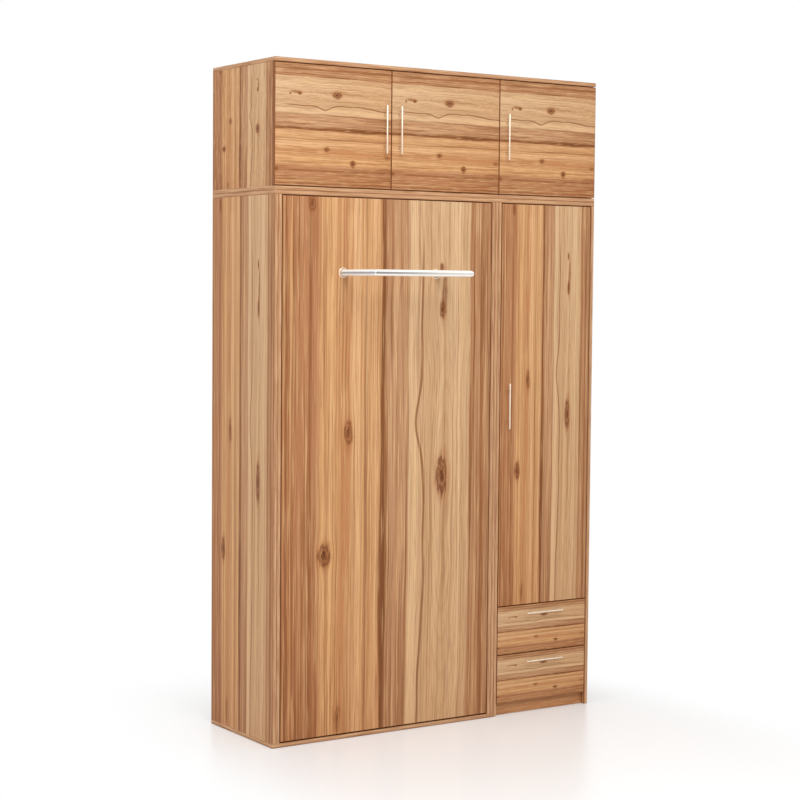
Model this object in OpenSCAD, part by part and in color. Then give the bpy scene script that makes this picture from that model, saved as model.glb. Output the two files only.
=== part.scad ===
// Fold-down wall bed with a narrow wardrobe beside it and a cabinet across the top.
// Millimetres. X runs along the front, Y towards the wall, Z up.
// The origin is on the floor, at the middle of the footprint.

/* [Cabinets] */
// Width of the wardrobe
wardrobe_w = 500; // [400:10:800]
// Depth from the wall to the fronts
depth = 500; // [450:10:560]
// Height of the cabinet on top
upper_h = 500; // [350:10:700]
// Thickness of the boards
board_t = 16; // [15:1:18]
// Thickness of the sides of the bed cabinet
bed_side_t = 32; // [26:1:40]
// Thickness of the back panels
back_t = 4; // [3:1:6]
// Depth of the grooves that hold the back panels
groove_d = 8; // [6:1:9]

/* [Fronts] */
// Gap around doors, drawer fronts and the bed panel
front_gap = 3; // [2:0.5:4]
// Gap under the bed panel
bed_gap = 5; // [5:0.5:8]
// Play between the doors and the edges behind them
door_play = 2; // [2:0.5:4]
// Height of a drawer front
drawer_front_h = 200; // [180:5:230]
// Height of the plinth under the wardrobe
plinth_h = 50; // [40:5:80]
// How far the plinth stands back
plinth_recess = 20; // [15:5:60]

/* [Bed] */
// Width of the mattress
mattress_w = 900; // [800:10:1400]
// Length of the mattress
mattress_l = 2000; // [1800:10:2200]
// Thickness of the mattress
mattress_t = 200; // [140:10:220]
// Play between the mattress and the boards around it
mattress_play = 2; // [1:0.5:3]
// Height of the boards around the mattress
rail_h = 150; // [120:5:170]
// Length of the bed panel below the boards around the mattress
frame_foot = 21; // [18:1:30]
// Length of the bed panel above the boards around the mattress
frame_head = 43; // [30:1:80]
// Space at each side of the bed for its pivots and struts
side_gap = 25; // [24:0.5:32]
// Thickness of the battens under the mattress
batten_t = 40; // [30:2:50]
// Width of a batten
batten_w = 60; // [40:5:90]
// Number of battens
batten_n = 11; // [6:1:14]
// Width of the mattress straps
strap_w = 40; // [25:5:60]
// Thickness of the straps
strap_t = 2; // [1.5:0.5:3]
// Distance of each strap from its end of the mattress
strap_inset = 550; // [300:10:700]
// Height of the blocks that stop the closed bed
stop_h = 40; // [20:5:60]
// Width of those blocks
stop_w = 18; // [12:1:20]
// Depth of those blocks
stop_d = 22; // [15:1:40]
// Distance of those blocks below the top panel
stop_drop = 134; // [80:5:200]

/* [Bed pivot] */
// Height of the pivot above the floor
pivot_z = 290; // [286:1:300]
// Distance of the pivot behind the front
pivot_y = 40; // [38:1:44]
// Diameter of the pivot pin
pivot_d = 16; // [12:1:18]
// Thickness of the steel pivot plates
plate_t = 2.5; // [2:0.5:3]
// Gap between the pivot plates and the back of the bed panel
plate_gap = 4; // [3:0.5:6]

/* [Gas struts] */
// Distance of the lower strut end above the end of the boards around the mattress
strut_foot = 19; // [18:1:40]
// Lean of the upper strut end behind the pivot, in degrees
strut_lean = 10; // [8:1:12]
// Angle between the two strut ends at the pivot when the bed is shut
strut_open_angle = 165; // [160:1:167]
// Diameter of the strut cylinder
cylinder_d = 18; // [15:1:18]
// Diameter of the strut rod
rod_d = 8; // [6:1:10]
// Diameter of the studs that hold the struts
stud_d = 10; // [8:1:11]

/* [Leg] */
// Diameter of the leg tube
leg_d = 25; // [18:1:28]
// Distance between the two posts of the leg
leg_span = 436; // [360:2:700]
// Distance of the leg below the top of the bed panel
leg_drop = 291; // [200:1:500]
// Diameter of the flanges that hold the leg
flange_d = 40; // [38:1:60]

/* [Handles] */
// Length of a bar handle
handle_l = 188; // [150:2:260]
// Diameter of the bar
handle_d = 6; // [5:0.5:12]
// Distance between the two feet of a handle
handle_pitch = 128; // [96:32:160]
// Distance from the front to the middle of the bar
handle_reach = 24; // [20:1:40]
// Distance from the edge of a front to its handle
handle_inset = 33; // [25:1:60]

/* [Door hinges] */
// Radius of the hinge cup
cup_r = 17.5; // [17:0.25:18]
// Depth of the hinge cup in the door
cup_depth = 12.5; // [11.5:0.25:12.5]
// Wall left between the cup and the edge of the door
cup_edge = 4; // [3.5:0.25:4.5]
// Distance of the end hinges from the ends of a door
hinge_end = 85; // [70:5:120]
// Distance of the hinges' mounting plates behind the front
hinge_plate_set = 46; // [44:1:60]
// Length of a mounting plate
hinge_plate_l = 38; // [34:1:45]
// Height of a mounting plate
hinge_plate_h = 48; // [40:1:60]
// Thickness of a mounting plate
hinge_plate_t = 2.5; // [2:0.5:4]
// Width of a hinge arm
hinge_arm_w = 8; // [7:0.5:9]

/* [Wardrobe] */
// Height of the space above the hat shelf
hat_space = 324; // [250:2:400]
// Distance of the middle of the hanging rail below the hat shelf
rail_drop = 54; // [45:1:80]
// Diameter of the hanging rail
rail_d = 25; // [22:1:30]
// How far the hat shelf stands back from the front
hat_shelf_setback = 56; // [30:2:150]

/* [Drawers] */
// Height of the drawer boxes
box_h = 130; // [90:5:135]
// Distance from the bottom of a drawer front to its box
box_lift = 30; // [24:1:40]
// Thickness taken by a telescopic runner
runner_t = 13; // [13:0.1:14]
// Height of a telescopic runner
runner_h = 45; // [42:1:50]

/* [Wall fixing] */
// Height of the boards that are screwed to the wall
wall_rail_h = 100; // [80:5:160]
// Radius of the holes for the wall screws
wall_hole_r = 4.5; // [3:0.5:6]
// Distance between the wall screws along the wall
wall_hole_pitch = 800; // [600:50:800]

/* [Joining bolts] */
// Distance of the bolts from the ends of the cabinets
bolt_inset = 120; // [80:10:160]
// Distance of the bolts from the fronts and from the wall side
bolt_setback = 150; // [100:10:200]
// Height of the lower bolts between bed cabinet and wardrobe
pair_bolt_z0 = 770; // [600:10:900]
// Distance of the upper ones below the top panel
pair_bolt_drop = 284; // [200:4:400]

/* [Hidden] */
$fn = 48;

// Small play between boards that are screwed or glued together
glue_gap = 0.1;
// Radial play of a pin that turns in its hole
pin_play = 0.05;
// Play of a back panel in its groove, each side
groove_play = 0.2;

// The mattress and the boards around it set the size of the bed cabinet
frame_in_w = mattress_w + 2 * mattress_play;
frame_w = frame_in_w + 2 * board_t;
frame_l = mattress_l + 2 * mattress_play + 2 * board_t;
panel_l = frame_foot + frame_l + frame_head;
bed_cabinet_w = frame_w + 2 * side_gap + 2 * bed_side_t;
overall_w = bed_cabinet_w + wardrobe_w;
lower_h = board_t + bed_gap + panel_l + front_gap + board_t;
total_h = lower_h + upper_h;

x_left = -overall_w / 2;
x_right = overall_w / 2;
x_split = x_left + bed_cabinet_w;
y_front = -depth / 2;
y_back = depth / 2;
lower_under_z = lower_h - board_t;

// Back panels stand in from the wall by the thickness of the wall boards
back_y = y_back - board_t - back_t;
groove_reach = groove_d - 1;
// Front edges that sit behind the doors
inner_front_y = y_front + board_t + door_play;

// Inside of the bed cabinet
bed_x0 = x_left + bed_side_t;
bed_x1 = x_split - bed_side_t;
bed_mid_x = (bed_x0 + bed_x1) / 2;

// Inside of the wardrobe
robe_x0 = x_split + board_t;
robe_x1 = x_right - board_t;
robe_mid_x = (robe_x0 + robe_x1) / 2;

// Bed panel and the boards around the mattress
panel_back_y = y_front + board_t;
panel_z0 = board_t + bed_gap;
panel_z1 = panel_z0 + panel_l;
frame_x0 = bed_x0 + side_gap;
frame_x1 = bed_x1 - side_gap;
frame_z0 = panel_z0 + frame_foot;
frame_z1 = frame_z0 + frame_l;
mattress_y0 = panel_back_y + batten_t + 0.3;
mattress_z0 = frame_z0 + board_t + mattress_play;
mattress_crown = 8;

// Pivot and struts, in the plane of the side gap
pivot_py = y_front + pivot_y;
plate_r = pivot_y - board_t - plate_gap;
strut_mid = side_gap / 2;
strut_top_angle = strut_lean;
strut_low_angle = strut_lean + strut_open_angle;
// Both strut ends lie at this distance from the pivot
strut_arm = (pivot_z - frame_z0 - strut_foot) / cos(180 - strut_low_angle);
strut_top = [pivot_py + strut_arm * sin(strut_top_angle), pivot_z + strut_arm * cos(strut_top_angle)];
strut_low = [pivot_py + strut_arm * sin(strut_low_angle), pivot_z + strut_arm * cos(strut_low_angle)];
strut_l = 2 * strut_arm * sin(strut_open_angle / 2);
strut_l_folded = 2 * strut_arm * sin((strut_open_angle - 90) / 2);
// Turn of the strut's own axis from straight down, about X
strut_turn = 90 - (strut_top_angle + strut_low_angle) / 2;
eye_r = stud_d / 2 + 4;
eye_w = 10;
cylinder_l = strut_l_folded - 2 * eye_r - 28;
boss_r = pivot_d / 2 + 6;

// Leg: when the bed is down its bar stands on the floor
leg_floor_play = 0.5;
leg_reach = pivot_z - pivot_y - leg_floor_play;
leg_z = panel_z1 - leg_drop;

// Fronts of the wardrobe
drawer_z = [plinth_h + 2.5, plinth_h + 2.5 + drawer_front_h + front_gap];
robe_door_z0 = drawer_z[1] + drawer_front_h + front_gap;
robe_door_z1 = lower_under_z - front_gap;
divider_z = robe_door_z0 - front_gap / 2 - board_t / 2;
divider_setback = board_t + door_play + 10;
shelf_z = lower_under_z - hat_space;
rail_z = shelf_z - board_t - rail_drop;

// Fronts of the top cabinet
upper_z0 = lower_h + board_t;
upper_z1 = total_h - board_t;
upper_door_z0 = upper_z0 + front_gap;
upper_door_z1 = upper_z1 - front_gap;
upper_door_x = [
    [x_left, x_left + (bed_cabinet_w - front_gap) / 2],
    [x_left + (bed_cabinet_w + front_gap) / 2, x_split - front_gap / 2],
    [x_split + front_gap / 2, x_right]
];

// Hinge linkage, measured from the hinge edge of a door and from its front face.
// The cup pin is in the door, the arm pin stands still, and the link joins them.
link_ratio = 0.7;
cup_pin = [cup_edge + 6, 12];
arm_pin = cup_pin * (1 + 1 / link_ratio);
cup_centre = cup_edge + cup_r;
cup_wall = 0.8;
ear_z0 = cup_r / 2;
ear_z1 = cup_r + 9.5;
hinge_pin_r = 1.5;
knuckle_r = 3;
link_half_z = 4;
link_t = 3;
link_path = [
    cup_pin,
    cup_pin + [3.6, -4.3],
    cup_pin + [12, -4.7],
    cup_pin + [17.4, -1.6],
    cup_pin + [19.3, 3.2],
    cup_pin + [19.3, 12],
    arm_pin
];
upper_hinge_z = [upper_door_z0 + hinge_end, upper_door_z1 - hinge_end];
robe_hinge_span = robe_door_z1 - robe_door_z0 - 2 * hinge_end;
robe_hinge_z = [for (i = [0:3]) robe_door_z0 + hinge_end + robe_hinge_span * i / 3];

// Drawer boxes and runners
runner_y0 = inner_front_y + 2;
runner_l = 50 * floor((back_y - runner_y0 - 5) / 50);
box_w = robe_x1 - robe_x0 - 2 * runner_t;
box_x0 = robe_x0 + runner_t;
box_l = runner_l - 10;
box_y0 = panel_back_y;
box_bottom_t = 4;
box_bottom_lift = 10;
sheet_t = 1.2;
slide_play = 0.5;

// Bolts that hold the cabinets together
bolt_r = 3;
bolt_head_r = 8;
bolt_head_t = 2;
bolt_hole_r = bolt_r + 0.2;
bolt_y = [y_front + bolt_setback, y_back - bolt_setback];
stack_bolt_x = [x_left + bolt_inset, (x_left + x_split) / 2, x_split + bolt_inset, x_right - bolt_inset];
pair_bolt_z = [pair_bolt_z0, lower_under_z - pair_bolt_drop];

// Wall boards
wall_rail_y = y_back - board_t;
bed_wall_rail_z = [board_t, lower_under_z - wall_rail_h];
upper_wall_rail_z = upper_z1 - wall_rail_h;
robe_wall_rail_z = lower_under_z - wall_rail_h;
wall_hole_x = [bed_mid_x - wall_hole_pitch / 2, bed_mid_x + wall_hole_pitch / 2];

wood = "peru";
wood_edge = "burlywood";
steel = "silver";
bright = "gainsboro";

// Box between two opposite corners
module block(a, b) {
    translate(a) cube(b - a);
}

// Cylinder along X, from x0 to x1
module rod_x(r, x0, x1, y, z) {
    translate([x0, y, z]) rotate([0, 90, 0]) cylinder(r = r, h = x1 - x0);
}

// Cylinder along Y, from y0 to y1
module rod_y(r, y0, y1, x, z) {
    translate([x, y0, z]) rotate([-90, 0, 0]) cylinder(r = r, h = y1 - y0);
}

// Cylinder along Z, from z0 to z1
module rod_z(r, z0, z1, x, y) {
    translate([x, y, z0]) cylinder(r = r, h = z1 - z0);
}

// Groove for a back panel, in the X, Y, Z box that it takes out of a board
module back_groove(x0, x1, z0, z1) {
    block([x0, back_y - groove_play, z0], [x1, back_y + back_t + groove_play, z1]);
}

// Copies of a part of the bed cabinet on its left and its right inside face.
// The children are drawn for the left, with X measured from that face.
module both_bed_sides() {
    translate([bed_x0, 0, 0]) children();
    translate([bed_x1, 0, 0]) mirror([1, 0, 0]) children();
}

// Flat bar with round ends between two points of the YZ plane, along X from 0 to t.
// The bar is a little narrower than its ends.
module link_plate(a, b, r, t) {
    d = b - a;
    half_w = 0.85 * r;
    rotate([90, 0, 90]) linear_extrude(height = t) {
        translate(a) circle(r = r);
        translate(b) circle(r = r);
        translate(a) rotate(atan2(d[1], d[0])) translate([0, -half_w]) square([norm(d), 2 * half_w]);
    }
}

// Bed cabinet

module bed_side(x0, x1, inner_x, toward) {
    color(wood) difference() {
        block([x0, y_front, board_t], [x1, y_back, lower_under_z]);
        back_groove(min(inner_x, inner_x + toward * groove_d), max(inner_x, inner_x + toward * groove_d),
            board_t - 1, lower_under_z + 1);
        if (toward > 0) pair_bolt_holes();
    }
}

module bed_side_left() {
    bed_side(x_left, bed_x0, bed_x0, -1);
}

module bed_side_right() {
    bed_side(bed_x1, x_split, bed_x1, 1);
}

module bed_bottom_panel() {
    color(wood) difference() {
        block([x_left, y_front, 0], [x_split, y_back, board_t]);
        back_groove(bed_x0 - groove_d, bed_x1 + groove_d, board_t - groove_d, board_t + 1);
    }
}

module lower_top_panel() {
    color(wood) difference() {
        block([x_left, y_front, lower_under_z], [x_right, y_back, lower_h]);
        back_groove(bed_x0 - groove_d, bed_x1 + groove_d, lower_under_z - 1, lower_under_z + groove_d);
        back_groove(robe_x0 - groove_d, robe_x1 + groove_d, lower_under_z - 1, lower_under_z + groove_d);
        stack_bolt_holes();
    }
}

module bed_back_panel() {
    color(wood_edge) difference() {
        block([bed_x0 - groove_reach, back_y, board_t - groove_reach],
            [bed_x1 + groove_reach, back_y + back_t, lower_under_z + groove_reach]);
        bed_wall_holes();
    }
}

module bed_wall_holes() {
    for (x = wall_hole_x, z = bed_wall_rail_z)
        rod_y(wall_hole_r, back_y - 1, y_back + 1, x, z + wall_rail_h / 2);
}

module upper_wall_holes() {
    for (x = wall_hole_x)
        rod_y(wall_hole_r, back_y - 1, y_back + 1, x, upper_wall_rail_z + wall_rail_h / 2);
}

// Boards behind the back panels, flush with the wall
module wall_rails() {
    color(wood_edge) difference() {
        union() {
            for (z = bed_wall_rail_z)
                block([bed_x0, wall_rail_y, z], [bed_x1, y_back, z + wall_rail_h]);
            block([robe_x0, wall_rail_y, robe_wall_rail_z],
                [robe_x1, y_back, robe_wall_rail_z + wall_rail_h]);
            block([x_left + board_t, wall_rail_y, upper_wall_rail_z],
                [x_right - board_t, y_back, upper_wall_rail_z + wall_rail_h]);
        }
        bed_wall_holes();
        upper_wall_holes();
    }
}

// Wardrobe

module wardrobe_side(x0, inner_x, toward) {
    color(wood) difference() {
        block([x0, y_front, 0], [x0 + board_t, y_back, lower_under_z]);
        back_groove(min(inner_x, inner_x + toward * groove_d), max(inner_x, inner_x + toward * groove_d),
            plinth_h, lower_under_z + 1);
        if (toward < 0) pair_bolt_holes();
    }
}

module wardrobe_side_left() {
    wardrobe_side(x_split, robe_x0, -1);
}

module wardrobe_side_right() {
    wardrobe_side(robe_x1, robe_x1, 1);
}

module wardrobe_floor() {
    color(wood) difference() {
        block([robe_x0, inner_front_y, plinth_h], [robe_x1, y_back, plinth_h + board_t]);
        back_groove(robe_x0 - 1, robe_x1 + 1, plinth_h + board_t - groove_d, plinth_h + board_t + 1);
    }
}

module wardrobe_plinth() {
    color(wood) block([robe_x0, y_front + plinth_recess, 0],
        [robe_x1, y_front + plinth_recess + board_t, plinth_h]);
}

module robe_shelf(z, setback) {
    block([robe_x0, y_front + setback, z], [robe_x1, back_y - groove_play, z + board_t]);
}

// Fixed shelf between door and drawers, and the shelf above the rail
module wardrobe_shelves() {
    color(wood) {
        robe_shelf(divider_z, divider_setback);
        robe_shelf(shelf_z - board_t, hat_shelf_setback);
    }
}

module wardrobe_back_panel() {
    color(wood_edge) block([robe_x0 - groove_reach, back_y, plinth_h + board_t - groove_reach],
        [robe_x1 + groove_reach, back_y + back_t, lower_under_z + groove_reach]);
}

socket_t = 10;

// Tube of the hanging rail, with a screwed socket around each end
module hanging_rail() {
    color(bright) {
        difference() {
            rod_x(rail_d / 2, robe_x0 + 1.1, robe_x1 - 1.1, 0, rail_z);
            rod_x(rail_d / 2 - sheet_t, robe_x0, robe_x1, 0, rail_z);
        }
        rail_socket(robe_x0, 0);
        rail_socket(robe_x1, 1);
    }
}

// Socket on the face of a wardrobe side; flip is 1 on the right
module rail_socket(x, flip) {
    translate([x, 0, 0]) mirror([flip, 0, 0]) difference() {
        union() {
            rod_x(rail_d / 2 + 9, 0, 3, 0, rail_z);
            rod_x(rail_d / 2 + 3, 0, socket_t, 0, rail_z);
        }
        rod_x(rail_d / 2 + glue_gap, 1, socket_t + 1, 0, rail_z);
    }
}

// Top cabinet

module upper_panel(z0, groove_z0, bolts) {
    color(wood) difference() {
        block([x_left, y_front, z0], [x_right, y_back, z0 + board_t]);
        back_groove(x_left + board_t - groove_d, x_right - board_t + groove_d,
            groove_z0, groove_z0 + groove_d + 1);
        if (bolts) stack_bolt_holes();
    }
}

module upper_top_panel() {
    upper_panel(upper_z1, upper_z1 - 1, false);
}

module upper_bottom_panel() {
    upper_panel(lower_h, upper_z0 - groove_d, true);
}

module upper_side(x0, groove_x0) {
    color(wood) difference() {
        block([x0, inner_front_y, upper_z0], [x0 + board_t, y_back, upper_z1]);
        back_groove(groove_x0, groove_x0 + groove_d + 1, upper_z0 - 1, upper_z1 + 1);
    }
}

module upper_side_left() {
    upper_side(x_left, x_left + board_t - groove_d);
}

module upper_side_right() {
    upper_side(x_right - board_t, x_right - board_t - 1);
}

module upper_partition() {
    color(wood) block([x_split - board_t / 2, inner_front_y, upper_z0],
        [x_split + board_t / 2, back_y - groove_play, upper_z1]);
}

module upper_back_panel() {
    color(wood_edge) difference() {
        block([x_left + board_t - groove_reach, back_y, upper_z0 - groove_reach],
            [x_right - board_t + groove_reach, back_y + back_t, upper_z1 + groove_reach]);
        upper_wall_holes();
    }
}

// Bolts

module stack_bolt_holes() {
    for (x = stack_bolt_x, y = bolt_y)
        rod_z(bolt_hole_r, lower_under_z - 1, upper_z0 + 1, x, y);
}

module pair_bolt_holes() {
    for (y = bolt_y, z = pair_bolt_z)
        rod_x(bolt_hole_r, bed_x1 - 1, robe_x0 + 1, y, z);
}

// Sleeve bolts with a flat head at each end: through the stacked panels and the paired sides
module joining_bolts() {
    color(steel) {
        for (x = stack_bolt_x, y = bolt_y) {
            rod_z(bolt_r, lower_under_z - bolt_head_t, upper_z0 + bolt_head_t, x, y);
            rod_z(bolt_head_r, lower_under_z - bolt_head_t, lower_under_z, x, y);
            rod_z(bolt_head_r, upper_z0, upper_z0 + bolt_head_t, x, y);
        }
        for (y = bolt_y, z = pair_bolt_z) {
            rod_x(bolt_r, bed_x1 - bolt_head_t, robe_x0 + bolt_head_t, y, z);
            rod_x(bolt_head_r, bed_x1 - bolt_head_t, bed_x1, y, z);
            rod_x(bolt_head_r, robe_x0, robe_x0 + bolt_head_t, y, z);
        }
    }
}

// Pivot, struts and stops

// Steel plate on the cabinet side with the pivot pin and the upper strut stud
module cabinet_pivot_plates() {
    pin_end = side_gap - plate_t - 0.5;
    eye_end = strut_mid + eye_w / 2 + 0.3;
    color(steel) both_bed_sides() {
        link_plate([pivot_py, pivot_z], strut_top, plate_r, plate_t);
        rod_x(pivot_d / 2, plate_t / 2, pin_end, pivot_py, pivot_z);
        rod_x(stud_d / 2, plate_t / 2, eye_end + 1, strut_top[0], strut_top[1]);
        rod_x(stud_d / 2 + 2, eye_end, eye_end + 2, strut_top[0], strut_top[1]);
    }
}

// Steel plate on the bed board with the pivot boss and the lower strut stud
module bed_pivot_plates() {
    eye_end = strut_mid - eye_w / 2 - 0.3;
    color(steel) both_bed_sides() {
        difference() {
            union() {
                translate([side_gap - plate_t, 0, 0])
                    link_plate([pivot_py, pivot_z], strut_low, plate_r - 2, plate_t);
                rod_x(boss_r, plate_t + 0.5, side_gap - plate_t / 2, pivot_py, pivot_z);
            }
            rod_x(pivot_d / 2 + pin_play, 0, side_gap - plate_t, pivot_py, pivot_z);
        }
        rod_x(stud_d / 2, eye_end - 1, side_gap - plate_t / 2, strut_low[0], strut_low[1]);
        rod_x(stud_d / 2 + 2, eye_end - 2, eye_end, strut_low[0], strut_low[1]);
    }
}

// Places a strut part: the eye on a stud at the origin and the strut along -Z
module along_strut(at, turn) {
    translate([strut_mid, at[0], at[1]]) rotate([turn, 0, 0]) children();
}

module strut_eye() {
    rotate([0, 90, 0]) cylinder(r = eye_r, h = eye_w, center = true);
}

module strut_eye_hole() {
    rotate([0, 90, 0]) cylinder(r = stud_d / 2 + pin_play, h = eye_w + 2, center = true);
}

// Gas cylinder, hung from the cabinet plate, with a bore for its rod
module strut_cylinders() {
    neck = eye_r + 14;
    color("dimgray") both_bed_sides() along_strut(strut_top, strut_turn) difference() {
        union() {
            strut_eye();
            translate([0, 0, -neck]) cylinder(r = rod_d / 2 + 1, h = neck);
            translate([0, 0, -neck - cylinder_l]) cylinder(r = cylinder_d / 2, h = cylinder_l);
        }
        strut_eye_hole();
        translate([0, 0, -neck - cylinder_l - 1])
            cylinder(r = rod_d / 2 + pin_play, h = cylinder_l - 6);
    }
}

// Strut rod, standing on the bed plate and running in the cylinder
module strut_rods() {
    overlap = 30;
    reach = strut_l - eye_r - 14 - cylinder_l + overlap;
    color(bright) both_bed_sides() along_strut(strut_low, strut_turn) difference() {
        union() {
            strut_eye();
            cylinder(r = rod_d / 2, h = reach);
            translate([0, 0, eye_r - 1]) cylinder(r = rod_d / 2 + 2, h = 9);
        }
        strut_eye_hole();
    }
}

// Small blocks with a soft face that the closed bed panel rests against
module closing_stops() {
    z1 = lower_under_z - stop_drop;
    color("dimgray") both_bed_sides()
        block([0, panel_back_y + 0.3, z1 - stop_h], [stop_w, panel_back_y + stop_d, z1]);
}

// Bed

module bed_front_panel() {
    color(wood) block([bed_x0 + front_gap, y_front, panel_z0], [bed_x1 - front_gap, panel_back_y, panel_z1]);
}

// Four boards around the mattress, standing on the back of the bed panel
module bed_frame_rails() {
    y1 = panel_back_y + rail_h;
    color(wood_edge) {
        for (x = [frame_x0, frame_x1 - board_t])
            block([x, panel_back_y, frame_z0], [x + board_t, y1, frame_z1]);
        for (z = [frame_z0, frame_z1 - board_t])
            block([frame_x0 + board_t + glue_gap, panel_back_y, z],
                [frame_x1 - board_t - glue_gap, y1, z + board_t]);
    }
}

// Cross battens that carry the mattress
module bed_battens() {
    first = frame_z0 + board_t + batten_w;
    last = frame_z1 - board_t - 2 * batten_w;
    color("wheat") for (i = [0:batten_n - 1])
        translate([0, 0, first + (last - first) * i / (batten_n - 1)])
            block([frame_x0 + board_t + glue_gap, panel_back_y, 0],
                [frame_x1 - board_t - glue_gap, panel_back_y + batten_t, batten_w]);
}

// Mattress: rings of points from the underside to the crown, closed by a fan at each end
mattress_levels = [
    [0, 14], [3, 4], [14, 0], [mattress_t * 0.5, 3], [mattress_t - 14, 0], [mattress_t - 3, 4],
    [mattress_t, 14], [mattress_t + mattress_crown * 0.45, mattress_w * 0.1],
    [mattress_t + mattress_crown * 0.8, mattress_w * 0.22]
];
corner_steps = 5;
edge_steps = 5;

// Points round one ring: four rounded corners with straight runs between them
function ring_points(level) =
    let (inset = level[1], hw = mattress_w / 2 - inset, hl = mattress_l / 2 - inset,
        r = max(40 - inset, 12))
    [for (c = [0:3]) each [
        for (k = [0:corner_steps])
            let (a = 90 * c + 90 * k / corner_steps)
            [(c == 0 || c == 3 ? hw - r : r - hw) + r * cos(a), level[0],
                (c < 2 ? hl - r : r - hl) + r * sin(a)],
        for (k = [1:edge_steps - 1])
            let (t = k / edge_steps, along = c % 2 == 0 ? hw - r : hl - r, s = along * (1 - 2 * t))
            c == 0 ? [s, level[0], hl] :
            c == 1 ? [-hw, level[0], s] :
            c == 2 ? [-s, level[0], -hl] : [hw, level[0], -s]
    ]];

module mattress() {
    n = 4 * (corner_steps + edge_steps);
    rings = len(mattress_levels);
    points = [
        for (level = mattress_levels) each ring_points(level),
        [0, 0, 0],
        [0, mattress_t + mattress_crown, 0]
    ];
    walls = [
        for (i = [0:rings - 2], j = [0:n - 1])
            let (a = i * n + j, b = i * n + (j + 1) % n)
            each [[a, b, b + n], [a, b + n, a + n]]
    ];
    caps = [
        for (j = [0:n - 1])
            let (top = (rings - 1) * n, k = (j + 1) % n)
            each [[rings * n, k, j], [rings * n + 1, top + j, top + k]]
    ];
    color("ivory") translate([bed_mid_x, mattress_y0, mattress_z0 + mattress_l / 2])
        polyhedron(points = points, faces = concat(walls, caps));
}

// Two straps across the mattress, screwed to the edges of the side boards, each with a buckle
module mattress_straps() {
    hw = mattress_w / 2 + 0.5;
    foot_y = panel_back_y + rail_h;
    top_y = mattress_y0 + mattress_t + mattress_crown + 0.4;
    outline = [
        [hw + 14, foot_y], [hw + 14, foot_y + strap_t], [hw + strap_t, foot_y + strap_t],
        [hw + strap_t, top_y - 10], [hw - 10, top_y + strap_t]
    ];
    inner = [[hw - 10, top_y], [hw, top_y - 10], [hw, foot_y]];
    left = [for (p = outline) [-p[0], p[1]]];
    left_inner = [for (p = inner) [-p[0], p[1]]];
    loop = concat(
        outline,
        [for (i = [len(left) - 1:-1:0]) left[i]],
        [for (i = [len(left_inner) - 1:-1:0]) left_inner[i]],
        inner
    );
    color("dimgray") for (z = [strap_inset, mattress_l - strap_inset])
        translate([bed_mid_x, 0, mattress_z0 + z]) {
            linear_extrude(height = strap_w, center = true) polygon(loop);
            block([-28, top_y + strap_t, -strap_w / 2 - 5], [28, top_y + strap_t + 6, strap_w / 2 + 5]);
        }
}

// Leg

leg_bar_y = y_front - leg_reach + leg_d / 2;
leg_post_x = [bed_mid_x - leg_span / 2, bed_mid_x + leg_span / 2];

// Two posts square to the panel, with a bar across their ends
module leg_frame() {
    color(bright) {
        rod_x(leg_d / 2, leg_post_x[0] - leg_d / 2, leg_post_x[1] + leg_d / 2, leg_bar_y, leg_z);
        for (x = leg_post_x) rod_y(leg_d / 2, leg_bar_y, y_front, x, leg_z);
    }
}

// Round flanges with a collar, each with three screw heads
module leg_flanges() {
    screw_r = (flange_d / 2 + leg_d / 2 + 2) / 2;
    color(bright) for (x = leg_post_x) difference() {
        union() {
            rod_y(flange_d / 2, y_front - 3, y_front, x, leg_z);
            rod_y(leg_d / 2 + 2, y_front - 9, y_front, x, leg_z);
            for (a = [90, 210, 330])
                rod_y(2.5, y_front - 4, y_front, x + screw_r * cos(a), leg_z + screw_r * sin(a));
        }
        rod_y(leg_d / 2 + pin_play, y_front - 20, y_front + 1, x, leg_z);
    }
}

// Handles

// Bar handle along Z, its middle in front of the origin
module bar_handle() {
    color(bright) {
        rod_z(handle_d / 2, -handle_l / 2, handle_l / 2, 0, -handle_reach);
        for (z = [-handle_pitch / 2, handle_pitch / 2])
            rod_y(handle_d / 2 - 0.5, -handle_reach, 0, 0, z);
    }
}

// Doors and their hinges.
// A hinge edge is [x, hand]: hand 1 for a door hinged on its left, -1 on its right.
left_edge = [upper_door_x[0][0], 1];
middle_edge = [upper_door_x[1][1], -1];
right_edge = [upper_door_x[2][1], -1];
robe_edge = [robe_x1 - front_gap, -1];

// Puts children, drawn for a left hinge edge on the front face, at each hinge of a door
module at_hinges(edge, heights) {
    for (z = heights)
        translate([edge[0], y_front, z]) mirror([edge[1] > 0 ? 0 : 1, 0, 0]) children();
}

// Door board from x0 to x1, with a round pocket for each hinge cup
module door_board(x0, x1, z0, z1, edge, heights) {
    color(wood) difference() {
        block([x0, y_front, z0], [x1, panel_back_y, z1]);
        at_hinges(edge, heights)
            rod_y(cup_r + glue_gap, board_t - cup_depth - glue_gap, board_t + 1, cup_centre, 0);
    }
}

// Hinge cup let into the door, with its ears and the pin that carries the link
module hinge_cup() {
    cup_y0 = board_t - cup_depth;
    pin_half = sqrt(pow(cup_r - 0.1, 2) - pow(cup_centre - cup_pin[0] + hinge_pin_r, 2));
    difference() {
        rod_y(cup_r, cup_y0, board_t, cup_centre, 0);
        rod_y(cup_r - cup_wall, cup_y0 + cup_wall, board_t + 1, cup_centre, 0);
    }
    difference() {
        for (side = [-1, 1])
            block([cup_centre - 4, board_t, side > 0 ? ear_z0 : -ear_z1],
                [cup_centre + 12, board_t + sheet_t, side > 0 ? ear_z1 : -ear_z0]);
        rod_y(cup_r - cup_wall, board_t - 1, board_t + 3, cup_centre, 0);
    }
    rod_z(hinge_pin_r, -pin_half, pin_half, cup_pin[0], cup_pin[1]);
}

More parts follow.
